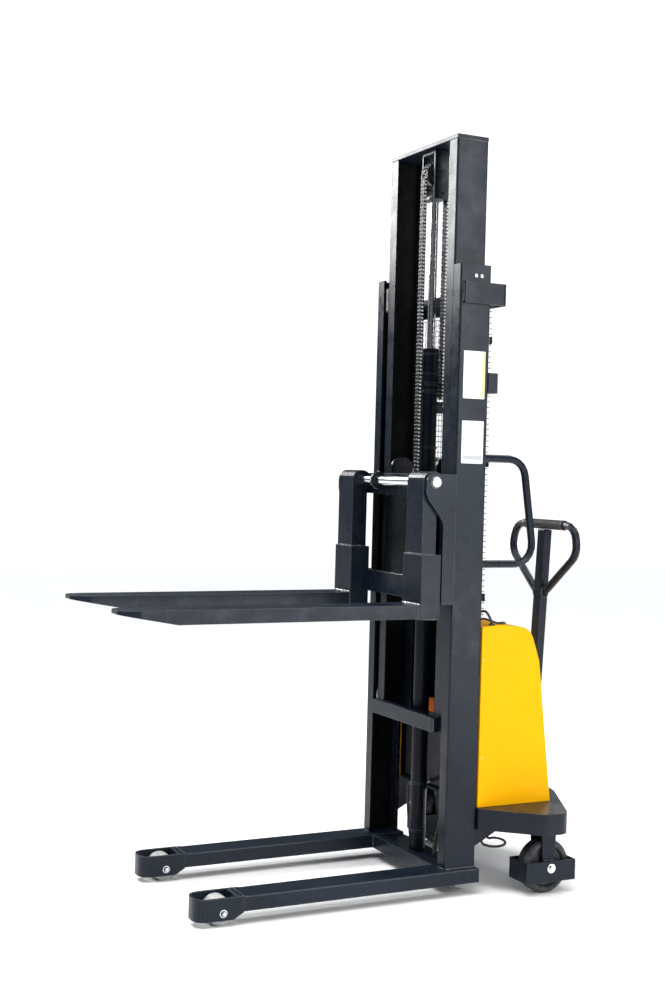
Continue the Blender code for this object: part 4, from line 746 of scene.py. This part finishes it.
# ------------------------ blank labels
def label(name, y0, y1, z0, z1, side, edge=True):
    x = side * (SIDE_X + 0.00025)
    parts = []

    def sheet_between(suffix, ya, yb, za, zb, finish, proud):
        bm = bmesh.new()
        r = 0.003
        outline = []
        for cy, cz, start in ((yb - r, zb - r, 0), (ya + r, zb - r, 90), (ya + r, za + r, 180),
                              (yb - r, za + r, 270)):
            for k in range(5):
                a = math.radians(start + 90 * k / 4)
                outline.append((cy + r * math.cos(a), cz + r * math.sin(a)))
        place = Matrix(((0, 0, side, x), (1, 0, 0, 0), (0, 1, 0, 0), (0, 0, 0, 1)))
        prism(bm, outline, -0.0001, proud, place)
        parts.append(piece(f"{name}_{suffix}", bm, finish, "chassis"))

    sheet_between("sheet", y0, y1, z0, z1, "label", 0.0004)
    if edge:
        sheet_between("band", y1 - 0.012, y1 - 0.001, z0 + 0.002, z1 - 0.002, "label_edge", 0.0006)
    else:
        sheet_between("band", y0 + 0.006, y1 - 0.006, z0 + 0.012, z0 + 0.026, "label_grey", 0.0006)


label("label_upper", MAST_Y + 0.019, MAST_Y + 0.102, 1.64, 1.796, 1)
label("label_lower", MAST_Y + 0.019, MAST_Y + 0.102, 1.427, 1.567, 1, edge=False)


# ------------------------ forks and carriage
SHANK_FRONT_Y = MAST_Y - 0.128
SLEEVE_TOP = 1.1285
SLEEVE_FOOT = 0.919
BLADE_SEAM = 0.9662


def fork_details():
    for word in ("left", "right"):
        x = middle(f"fork_{word}").x
        dark = bmesh.new()
        y = SHANK_FRONT_Y
        weld(dark, (x - 0.054, y - 0.0006, SLEEVE_TOP), (x + 0.054, y - 0.0006, SLEEVE_TOP), 0.0032)
        for s in (-1, 1):
            flank, sole = x + s * 0.0542, x + s * 0.0605
            weld(dark, (flank, y + 0.002, SLEEVE_TOP), (flank, y + 0.047, SLEEVE_TOP), 0.003)
            weld(dark, (sole, y - 0.0035, SLEEVE_FOOT), (sole, y + 0.06, SLEEVE_FOOT), 0.0022)
        piece(f"fork_welds_{word}", dark, "weld", f"fork_{word}")
        bright = bmesh.new()
        weld(bright, (x - 0.056, y - 0.0055, BLADE_SEAM), (x + 0.056, y - 0.0055, BLADE_SEAM), 0.0034,
             bow=(0, -0.0012, 0))
        piece(f"fork_foot_weld_{word}", bright, "bright_bead_and_edge_highlight", f"fork_{word}")


def carriage_details():
    caps = bmesh.new()
    rings = bmesh.new()
    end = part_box("fork_bar")[1].x
    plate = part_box("carriage_plate_left")[1].x
    for side in (-1, 1):
        place = facing((side * end, BAR_Y, BAR_Z), (side, 0, 0))
        lathe(caps, [(0, -0.002), (0.0152, -0.002), (0.0152, 0.0004), (0.0136, 0.0016), (0.0048, 0.0016),
                     (0.0034, -0.0006), (0, -0.0006)], place, 32)
        place = facing((side * plate, BAR_Y, BAR_Z), (side, 0, 0))
        ring(rings, [(0.0162, -0.0004), (0.0215, -0.0004), (0.0208, 0.002), (0.017, 0.0022)], place, 36)
    piece("bar_end_caps", caps, "chrome", "carriage")
    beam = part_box("carriage_beam")
    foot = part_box("carriage_foot_plate")
    for side in (-1, 1):
        x = side * (beam[1].x - 0.0008)
        for (low, high), proud, radius in ((beam, 0.0006, 0.003), (foot, 0.0002, 0.0026)):
            y = low.y - proud
            weld(rings, (x, y, low.z + 0.002), (x, y, high.z - 0.002), radius)
        y = beam[1].y - 0.001
        weld(rings, (side * 0.149, y, 1.322), (side * 0.149, y, 1.384), 0.0024)
    piece("carriage_welds", rings, "weld", "carriage")
    # Painted highlight: a thin bright metal strip laid along the foot plate's top front edge.
    strip = bmesh.new()
    block(strip, (foot[0].x + 0.004, foot[0].y - 0.0003, foot[1].z - 0.0022),
          (foot[1].x - 0.004, foot[0].y + 0.002, foot[1].z + 0.0003), 0.0004)
    piece("foot_plate_edge_highlight", strip, "bright_bead_and_edge_highlight", "carriage")
    screw = bmesh.new()
    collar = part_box("fork_bar_collar")
    x = middle("fork_bar_collar").x
    bolt(screw, (x, BAR_Y, collar[1].z - 0.0006), (0, 0, 1), 0.0052, washer=False)
    bolt(screw, (x, collar[0].y + 0.0012, BAR_Z), (0, -1, 0), 0.0048, washer=False)
    piece("collar_screws", screw, "zinc", "carriage")
    hubs = bmesh.new()
    for word, side in SIDES:
        for level in ("lower", "upper"):
            low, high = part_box(f"carriage_roller_{level}_{word}")
            y, z = middle(f"carriage_roller_{level}_{word}").yz
            inner = low.x if side > 0 else high.x
            place = facing((inner, y, z), (-side, 0, 0))
            ring(hubs, [(0.0125, -0.0004), (0.02, -0.0004), (0.0195, 0.0008), (0.0128, 0.0008)], place, 24)
    piece("roller_spacers", hubs, "zinc", "carriage")


fork_details()
carriage_details()


# ------------------------ load rollers and castors
def roller_details():
    for word in ("left", "right"):
        low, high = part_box(f"load_roller_{word}")
        x, y, z = (low + high) / 2
        rims = bmesh.new()
        for s in (-1, 1):
            place = facing((x + s * (high.x - low.x) / 2, y, z), (s, 0, 0))
            ring(rims, [(0.0105, -0.0004), (0.018, -0.0004), (0.0176, 0.0018), (0.0108, 0.0018)], place, 28)
            ring(rims, [(0.029, -0.0004), (0.036, -0.0004), (0.035, 0.001), (0.03, 0.001)], place, 36)
        piece(f"load_roller_rims_{word}", rims, "hub", f"load_roller_{word}")
        axles = bmesh.new()
        for s in (-1, 1):
            face = x + s * 0.0499
            place = facing((face, y, z), (s, 0, 0))
            ring(axles, [(0.0092, -0.0004), (0.0125, -0.0004), (0.0122, 0.0012), (0.0092, 0.0014)], place, 28)
            bolt(axles, (x + s * 0.0536, y, z), (s, 0, 0), 0.0082, 0.0046, washer=False)
        piece(f"load_axle_bolts_{word}", axles, "zinc", "chassis")
        seam = bmesh.new()
        for s in (-1, 1):
            weld(seam, (x + s * 0.05, MAST_Y - 0.716, 0.0868), (x + s * 0.05, MAST_Y - 0.7, 0.0868), 0.0018)
        weld(seam, (x - 0.046, MAST_Y - 0.7195, 0.0885), (x + 0.046, MAST_Y - 0.7195, 0.0885), 0.0022)
        piece(f"housing_welds_{word}", seam, "weld", "chassis")


def castor_details():
    for word in ("left", "right"):
        low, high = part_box(f"castor_wheel_{word}")
        x, y, z = (low + high) / 2
        half = (high.x - low.x) / 2
        hub = bmesh.new()
        tread = bmesh.new()
        for s in (-1, 1):
            place = facing((x + s * (half - 0.01), y, z), (s, 0, 0))
            ring(hub, [(0.03, -0.0005), (0.064, -0.0005), (0.063, 0.0014), (0.056, 0.002),
                       (0.055, 0.001), (0.04, 0.001), (0.039, 0.0026), (0.0305, 0.003)], place, 40)
            for a in circle(6):
                spoke = place @ Matrix.Rotation(a, 4, "Z") @ Matrix.Translation((0.047, 0, 0.0018))
                cube(hub, spoke, (0.018, 0.006, 0.0034))
            place = facing((x + s * half, y, z), (s, 0, 0))
            ring(tread, [(0.0725, -0.0006), (0.0815, -0.0006), (0.0805, 0.001), (0.0735, 0.001)], place, 48)
            ring(hub, [(0.0085, -0.0006), (0.024, -0.0006), (0.023, 0.0014), (0.0087, 0.002)], place, 28)
        piece(f"castor_hub_{word}", hub, "battery", f"castor_wheel_{word}")
        piece(f"castor_sidewall_{word}", tread, "tyre", f"castor_wheel_{word}")
        yoke = bmesh.new()
        for s in (-1, 1):
            bolt(yoke, (x + s * 0.0556, y, z), (s, 0, 0), 0.0112, 0.0062, washer=False)
            place = facing((x + s * 0.0519, y, z), (s, 0, 0))
            ring(yoke, [(0.0082, -0.0004), (0.016, -0.0004), (0.0156, 0.0018), (0.0082, 0.002)], place, 28)
        piece(f"castor_axle_bolts_{word}", yoke, "chrome", f"castor_yoke_{word}")
        seat = bmesh.new()
        place = facing((x, y, 0.0), (0, 0, 1))
        ring(seat, [(0.018, 0.203), (0.033, 0.203), (0.0345, 0.205), (0.018, 0.205)], place, 40)
        ring(seat, [(0.0385, 0.2075), (0.041, 0.2085), (0.041, 0.213), (0.0385, 0.214)], place, 40)
        for s in (-1, 1):
            weld(seat, (x + s * 0.035, y - 0.026, 0.2035), (x + s * 0.035, y + 0.026, 0.2035), 0.002)
            weld(seat, (x + s * 0.036, y - 0.022, 0.1135), (x + s * 0.036, y + 0.022, 0.1135), 0.002)
        piece(f"castor_seat_{word}", seat, "weld", f"castor_yoke_{word}")


roller_details()
castor_details()


# ------------------------ cylinder, hoses and cables
def bend(corners, radius, steps=8):
    """Straight runs through corners, with each bend rounded."""
    points = [Vector(corners[0])]
    for before, corner, after in zip(corners, corners[1:], corners[2:]):
        corner = Vector(corner)
        back = (Vector(before) - corner).normalized()
        ahead = (Vector(after) - corner).normalized()
        half = back.angle(ahead) / 2
        reach = radius / math.tan(half)
        centre = corner + (back + ahead).normalized() * radius / math.sin(half)
        start = (corner + back * reach - centre).normalized()
        end = (corner + ahead * reach - centre).normalized()
        points += [centre + start.slerp(end, k / steps) * radius for k in range(steps + 1)]
    points.append(Vector(corners[-1]))
    return points


def ferrule(bm, point, direction, radius, length):
    """A crimped sleeve with a hex nut behind it."""
    place = facing(point, direction)
    lathe(bm, [(0, 0), (radius * 1.2, 0), (radius * 1.32, 0.001), (radius * 1.32, length * 0.4),
               (radius * 1.22, length * 0.46), (radius * 1.3, length * 0.54), (radius * 1.3, length * 0.9),
               (radius * 1.12, length), (0, length)], place, 20)
    nut = [(radius * 1.5 * math.cos(a), radius * 1.5 * math.sin(a)) for a in circle(6)]
    prism(bm, nut, 0.0, length * 0.32, place)


def cylinder_details():
    bands = bmesh.new()
    barrel = 0.028
    for z in (0.15, 0.3155, 1.672):
        place = facing((0, CYLINDER_Y, z), (0, 0, 1))
        ring(bands, [(barrel - 0.0006, -0.005), (barrel + 0.0012, -0.005), (barrel + 0.0018, -0.0042),
                     (barrel + 0.0018, 0.0042), (barrel + 0.0012, 0.005), (barrel - 0.0006, 0.005)],
             place, 40)
    place = facing((0, CYLINDER_Y, 0), (0, 0, 1))
    ring(bands, [(0.0294, 1.8), (0.0306, 1.801), (0.0306, 1.806), (0.0294, 1.807)], place, 40)
    for z, reach in ((1.735, 0.0012), (1.48, 0.001)):
        ring(bands, [(barrel - 0.0006, z - 0.003), (barrel + 0.002 + reach, z - 0.003),
                     (barrel + 0.002 + reach, z + 0.003), (barrel - 0.0006, z + 0.003)], place, 40)
    ring(bands, [(barrel, 1.693), (0.033, 1.694), (0.0336, 1.696), (0.0336, 1.704), (0.033, 1.706),
                 (barrel, 1.707)], place, 48)
    weld(bands, (-0.024, CYLINDER_Y - 0.02, 0.0795), (0.024, CYLINDER_Y - 0.02, 0.0795), 0.0026,
         bow=(0, -0.014, 0))
    piece("barrel_bands", bands, "charcoal", "chassis")
    seal = bmesh.new()
    ring(seal, [(0.0146, 1.821), (0.0215, 1.821), (0.02, 1.824), (0.015, 1.8248)], place, 32)
    piece("rod_wiper", seal, "hose", "chassis")
    brass = bmesh.new()
    ferrule(brass, (-0.0275, CYLINDER_Y, 0.3), (-1, 0, 0), 0.006, 0.02)
    ferrule(brass, (-0.075, MAST_Y + 0.078, 0.0782), (0, 0, 1), 0.0062, 0.024)
    piece("hose_fittings", brass, "brass", "chassis")
    black = bmesh.new()
    pipe(black, smooth_path([(-0.046, CYLINDER_Y, 0.3), (-0.066, CYLINDER_Y + 0.002, 0.3),
                             (-0.086, CYLINDER_Y + 0.008, 0.268), (-0.09, CYLINDER_Y + 0.014, 0.2),
                             (-0.08, MAST_Y + 0.077, 0.135), (-0.075, MAST_Y + 0.078, 0.1)], 8), 0.0062, 12)
    piece("return_hose", black, "hose", "chassis")
    ripple = bmesh.new()
    path = smooth_path([(0.076, MAST_Y + 0.086, 0.0785), (0.08, MAST_Y + 0.088, 0.13),
                        (0.092, MAST_Y + 0.096, 0.19), (0.09, MAST_Y + 0.112, 0.25),
                        (0.086, MAST_Y + 0.126, 0.32), (0.092, MAST_Y + 0.142, 0.4),
                        (0.118, MAST_Y + 0.166, 0.452), (0.133, MAST_Y + 0.196, 0.486)], 26)
    radii = [0.0078 + (0.0011 if (i // 2) % 2 else -0.0006) for i in range(len(path))]
    pipe(ripple, path, 0.0078, 12, radii=radii)
    piece("corrugated_hose", ripple, "hose", "chassis")


def hoses():
    block_x, block_z, motor_y = 0.135, 0.505, MAST_Y + 0.23
    cable_y, cable_z = MAST_Y + 0.167, 0.5676
    bm = bmesh.new()
    pipe(bm, bend([(-0.0667, cable_y, cable_z), (0.062, cable_y, cable_z),
                   (block_x - 0.024, motor_y, block_z), (block_x - 0.0003, motor_y, block_z)], 0.014),
         0.0059, 14)
    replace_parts(piece("battery_cable_smooth", bm, "hose", "chassis"), "battery_cable")
    ends = bmesh.new()
    ferrule(ends, (block_x, motor_y, block_z), (-1, 0, 0), 0.006, 0.018)
    port_y = CYLINDER_Y + 0.0283
    behind = MAST_Y + 0.137
    hose_x = block_x + 0.028
    bm = bmesh.new()
    pipe(bm, bend([(0, port_y, 0.32), (0, behind, 0.32), (hose_x, behind, block_z),
                   (hose_x, MAST_Y + 0.1747, block_z)], 0.028), 0.0079, 16)
    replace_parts(piece("pressure_hose_smooth", bm, "hose", "chassis"), "hydraulic_hose")
    ferrule(ends, (0, port_y - 0.001, 0.32), (0, 1, 0), 0.008, 0.016)
    ferrule(ends, (hose_x, MAST_Y + 0.1752, block_z), (0, -1, 0), 0.008, 0.014)
    piece("hose_ends", ends, "zinc", "chassis")
    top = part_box("cover")[1].z
    tank_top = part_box("oil_tank")[1].z - 0.0019
    tank_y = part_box("oil_tank")[0].y + 0.018
    loops = bmesh.new()
    outer = [(0.196, 0.155, 0.79), (0.196, 0.138, 0.842), (0.206, 0.1355, 0.888), (0.23, 0.138, 0.926),
             (0.262, 0.145, 0.936), (0.276, 0.154, 0.918), (0.272, 0.166, top + 0.0046)]
    inner = [(0.211, 0.155, 0.795), (0.21, 0.138, 0.85), (0.222, 0.1355, 0.89), (0.25, 0.141, 0.91),
             (0.27, 0.16, 0.906), (0.268, 0.19, top + 0.0048), (0.25, 0.226, top + 0.0036)]
    for start, rest, radius in ((0.196, outer, 0.0042), (0.213, inner, 0.0036)):
        path = [(start, tank_y, tank_top + rise) for rise in (0.0003, 0.03)]
        path += [(x, MAST_Y + y, z) for x, y, z in rest]
        pipe(loops, smooth_path(path, 8), radius, 10)
    piece("mast_cables", loops, "grip", "chassis")
    grommet = bmesh.new()
    ring(grommet, [(0.0038, top - 0.0006), (0.0105, top - 0.0006), (0.01, top + 0.003),
                   (0.0045, top + 0.0042)], facing((0.272, MAST_Y + 0.166, 0), (0, 0, 1)), 24)
    for x in (0.196, 0.213):
        ferrule(grommet, (x, tank_y, tank_top), (0, 0, 1), 0.0043, 0.012)
    block(grommet, (0.24, MAST_Y + 0.216, top - 0.0004), (0.258, MAST_Y + 0.232, top + 0.0052), 0.0012)
    piece("cable_clips", grommet, "battery", "chassis")
    under = bmesh.new()
    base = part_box("platform")[1].z - 0.07
    loop = Vector((0.262, 0.482, base - 0.058))
    turn = [loop + Vector((0.02 * math.cos(a), 0.034 * math.cos(a), 0.015 * math.sin(a)))
            for a in (math.radians(115 - 25 * k) for k in range(12))]
    rise = [(0.238, 0.452, base + 0.0637), (0.24, 0.452, base), (0.244, 0.458, base - 0.034)]
    pipe(under, smooth_path(rise + turn + [(0.236, 0.44, base - 0.03), (0.234, 0.436, base + 0.0637)], 6),
         0.0042, 12)
    piece("brake_hose_loop", under, "hose", "chassis")


cylinder_details()
hoses()


# ------------------------ cover, controls and power unit
def back_face(x, z, proud=0.0):
    share = (z - 0.2853) / 0.48
    normal = Vector((0, 0.48, 0.06)).normalized()
    return Vector((x, MAST_Y + 0.412 - 0.06 * share, z)) + normal * proud, normal


def cover_details():
    screws = bmesh.new()
    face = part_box("cover")[1].x
    for side in (-1, 1):
        for y, z in ((0.4085, 0.7772), (0.412, 0.4501)):
            cap_screw(screws, (side * (face - 0.0003), y, z), (side, 0, 0), 0.004)
    for x in (-0.24, 0.24):
        point, normal = back_face(x, 0.33)
        cap_screw(screws, point, normal, 0.0058)
    piece("cover_screws", screws, "label_edge", "chassis")
    plates = bmesh.new()
    point, normal = back_face(-0.12, 0.6)
    ring(plates, [(0.0078, -0.0005), (0.027, -0.0005), (0.0264, 0.0005), (0.008, 0.0006)],
         facing(point, normal), 40)
    piece("stop_plate", plates, "label_edge", "chassis")
    point, normal = back_face(0.1, 0.69)
    dial = bmesh.new()
    for k in range(7):
        a = math.radians(-60 + 20 * k)
        spot = facing(point, normal) @ Matrix.Rotation(a, 4, "Z") @ Matrix.Translation((0.026, 0, 0))
        lathe(dial, [(0, -0.0004), (0.0016, -0.0004), (0.0015, 0.0004), (0, 0.0004)], spot, 12)
    piece("lever_dial", dial, "battery", "chassis")
    button = bmesh.new()
    point, normal = back_face(-0.12, 0.6, 0.019)
    place = facing(point, normal)
    lathe(button, [(0, -0.0008), (0.016, -0.0008), (0.0162, 0.0004), (0.014, 0.0026), (0.009, 0.0042),
                   (0, 0.0048)], place, 36)
    for a in circle(3):
        arrow = [(0.007 + 0.0035 * math.cos(b), 0.0035 * math.sin(b)) for b in (0.0, 2.1, 4.2)]
        prism(button, arrow, 0.003, 0.005, place @ Matrix.Rotation(a, 4, "Z"))
    fins = facing(back_face(-0.12, 0.6, 0.0072)[0], normal)
    for a in circle(18):
        rib = fins @ Matrix.Rotation(a, 4, "Z") @ Matrix.Translation((0.0186, 0, 0.0025))
        cube(button, rib, (0.0016, 0.0022, 0.006))
    piece("stop_cap", button, "red", "stop_button")
    knob = bmesh.new()
    point, normal = back_face(0.1, 0.69, 0.0143)
    place = facing(point, normal)
    lathe(knob, [(0, -0.0008), (0.0145, -0.0008), (0.015, 0.0006), (0.012, 0.0026), (0.004, 0.003),
                 (0.0036, 0.002), (0, 0.002)], place, 32)
    piece("lever_cap", knob, "battery", "control_lever")


def power_unit_details():
    low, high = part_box("battery")
    lid = bmesh.new()
    rim_z = high.z - 0.03
    for front, back in ((low.y - 0.0012, low.y + 0.001), (high.y - 0.001, high.y + 0.0012)):
        block(lid, (low.x + 0.004, front, rim_z), (high.x - 0.004, back, rim_z + 0.004), 0.0005)
    for k in range(6):
        x = low.x + 0.04 + k * 0.044
        lathe(lid, [(0, -0.001), (0.011, -0.001), (0.011, 0.0035), (0.0095, 0.005), (0, 0.005)],
              facing((x, high.y - 0.045, high.z), (0, 0, 1)), 20)
    piece("battery_lid", lid, "battery", "chassis")
    posts = bmesh.new()
    for x in (low.x + 0.03, high.x - 0.03):
        lathe(posts, [(0, -0.001), (0.0085, -0.001), (0.0078, 0.012), (0, 0.012)],
              facing((x, low.y + 0.06, high.z), (0, 0, 1)), 20)
        bolt(posts, (x, low.y + 0.06, high.z + 0.0118), (0, 0, 1), 0.006)
    piece("battery_posts", posts, "brass", "chassis")
    x, y = middle("pump_motor").xy
    bands = bmesh.new()
    place = facing((x, y, 0), (0, 0, 1))
    for z in (0.3, 0.452):
        ring(bands, [(0.0494, z), (0.0512, z + 0.0006), (0.0512, z + 0.0094), (0.0494, z + 0.01)], place, 48)
    for a in circle(8, 0.8 / math.pi):
        bolt(bands, (x + 0.0508 * math.cos(a), y + 0.0508 * math.sin(a), 0.305),
             (math.cos(a), math.sin(a), 0), 0.0036, washer=False)
    piece("motor_bands", bands, "zinc", "chassis")
    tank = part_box("oil_tank")
    filler = bmesh.new()
    lathe(filler, [(0, -0.001), (0.02, -0.001), (0.02, 0.004), (0.0175, 0.006), (0.0175, 0.015),
                   (0.016, 0.017), (0, 0.017)], facing((x, y + 0.03, tank[1].z), (0, 0, 1)), 28)
    spot = facing((x, y + 0.03, tank[1].z + 0.0105), (0, 0, 1))
    for a in circle(12):
        rib = spot @ Matrix.Rotation(a, 4, "Z") @ Matrix.Translation((0.0178, 0, 0))
        cube(filler, rib, (0.002, 0.003, 0.008))
    piece("tank_filler", filler, "connector", "chassis")


cover_details()
power_unit_details()


# ------------------------ tiller
def tiller_details():
    low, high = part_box("tiller_grip")
    y, z = middle("tiller_grip").yz
    half = high.x
    bore, groove, rib = 0.0143, 0.0166, (high.y - low.y) / 2
    profile = [(bore, -half), (groove, -half), (rib, -half + 0.0012), (rib, -half + 0.006)]
    steps = 22
    span = 2 * half - 0.024
    for k in range(steps):
        start = -half + 0.012 + span * k / steps
        profile += [(groove, start), (groove, start + span / steps * 0.35),
                    (rib - 0.0002, start + span / steps * 0.5), (rib - 0.0002, start + span / steps * 0.85)]
    profile += [(rib, half - 0.006), (rib, half - 0.0012), (groove, half), (bore, half)]
    bm = bmesh.new()
    ring(bm, profile, facing((0, y, z), (1, 0, 0)), 32)
    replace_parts(piece("grip_sleeve", bm, "grip", "tiller"), "tiller_grip")
    pins = bmesh.new()
    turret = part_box("tiller_turret")
    pivot = (MAST_Y + 0.52, 0.342)
    for s in (-1, 1):
        place = facing((s * 0.0312, *pivot), (s, 0, 0))
        ring(pins, [(0.0081, -0.0006), (0.015, -0.0006), (0.0146, 0.0014), (0.0081, 0.0016)], place, 28)
        bolt(pins, (s * 0.0348, *pivot), (s, 0, 0), 0.009, 0.005, washer=False)
    for s in (-1, 1):
        cap_screw(pins, (s * 0.0356, pivot[0], turret[0].z + 0.0178), (0, 0, 1), 0.0036)
    piece("turret_screws", pins, "zinc", "turret")
    beads = bmesh.new()
    lean = math.radians(2.7)
    for s in (-1, 1):
        height = 0.628
        centre = Vector((s * 0.0245, pivot[0] + height * math.sin(lean), pivot[1] + height * math.cos(lean)))
        pts = [centre + Vector((s * 0.001 * math.sin(2 * a), 0.015 * math.cos(a),
                                0.0185 * math.sin(a) + 0.003))
               for a in circle(36)]
        pipe(beads, pts, 0.0024, 8, closed=True, radii=rippled(0.0024, 36))
    piece("tiller_welds", beads, "weld", "tiller")


tiller_details()


# ------------------------ floor and light
def studio():
    floor_mesh = bpy.data.meshes.new("floor")
    s = 14.0
    floor_mesh.from_pydata([(-s, -s, 0), (s, -s, 0), (s, s, 0), (-s, s, 0)], [], [(0, 1, 2, 3)])
    floor = bpy.data.objects.new("floor", floor_mesh)
    bpy.context.scene.collection.objects.link(floor)
    m = Mat("floor_pale", rough=0.85)
    m.colour(m.tones(0.6, 3.0, (0.95, 0.95, 0.95), (0.97, 0.97, 0.97)))
    floor_mesh.materials.append(m.mat)

    bpy.context.scene.view_settings.view_transform = "Standard"
    world = bpy.data.worlds.new("studio")
    world.use_nodes = True
    tree = world.node_tree
    tree.nodes["Background"].inputs["Color"].default_value = (0.8, 0.9, 1.0, 1.0)
    tree.nodes["Background"].inputs["Strength"].default_value = 0.12
    backdrop = tree.nodes.new("ShaderNodeBackground")
    backdrop.inputs["Color"].default_value = (1.0, 1.0, 1.0, 1.0)
    backdrop.inputs["Strength"].default_value = 1.15
    seen = tree.nodes.new("ShaderNodeLightPath")
    mix = tree.nodes.new("ShaderNodeMixShader")
    tree.links.new(seen.outputs["Is Camera Ray"], mix.inputs["Fac"])
    tree.links.new(tree.nodes["Background"].outputs["Background"], mix.inputs[1])
    tree.links.new(backdrop.outputs["Background"], mix.inputs[2])
    tree.links.new(mix.outputs["Shader"], tree.nodes["World Output"].inputs["Surface"])
    bpy.context.scene.world = world

    for name, place, target, size, power in (
        ("key", (4.2, 1.9, 2.6), (0, 0.3, 0.9), (2.0, 2.6), 125.0),
        ("left_softbox", (-2.9, -1.15, 3.25), (0, 0.3, 2.5), (2.0, 1.3), 150.0),
        ("front_strip", (0.4, -4.6, 3.4), (0, 0.3, 2.6), (1.0, 1.2), 30.0),
        ("rim", (-2.6, 3.8, 2.8), (0, 0.3, 1.3), (1.6, 2.6), 60.0),
        ("low_strip", (4.5, 1.75, 0.5), (0, -0.1, 0.9), (3.4, 0.4), 42.0),
    ):
        lamp = bpy.data.lights.new(name, "AREA")
        lamp.shape = "RECTANGLE"
        lamp.size, lamp.size_y = size
        lamp.energy = power
        obj = bpy.data.objects.new(name, lamp)
        obj.location = place
        aim = (Vector(target) - Vector(place)).to_track_quat("-Z", "Y")
        obj.rotation_euler = aim.to_euler()
        bpy.context.scene.collection.objects.link(obj)


studio()


def sky_panel():
    lamp = bpy.data.lights.new("sky_panel", "SUN")
    lamp.angle = math.radians(50)
    lamp.energy = 3.2
    obj = bpy.data.objects.new("sky_panel", lamp)
    obj.rotation_euler = (math.radians(14), math.radians(10), 0)
    bpy.context.scene.collection.objects.link(obj)


sky_panel()
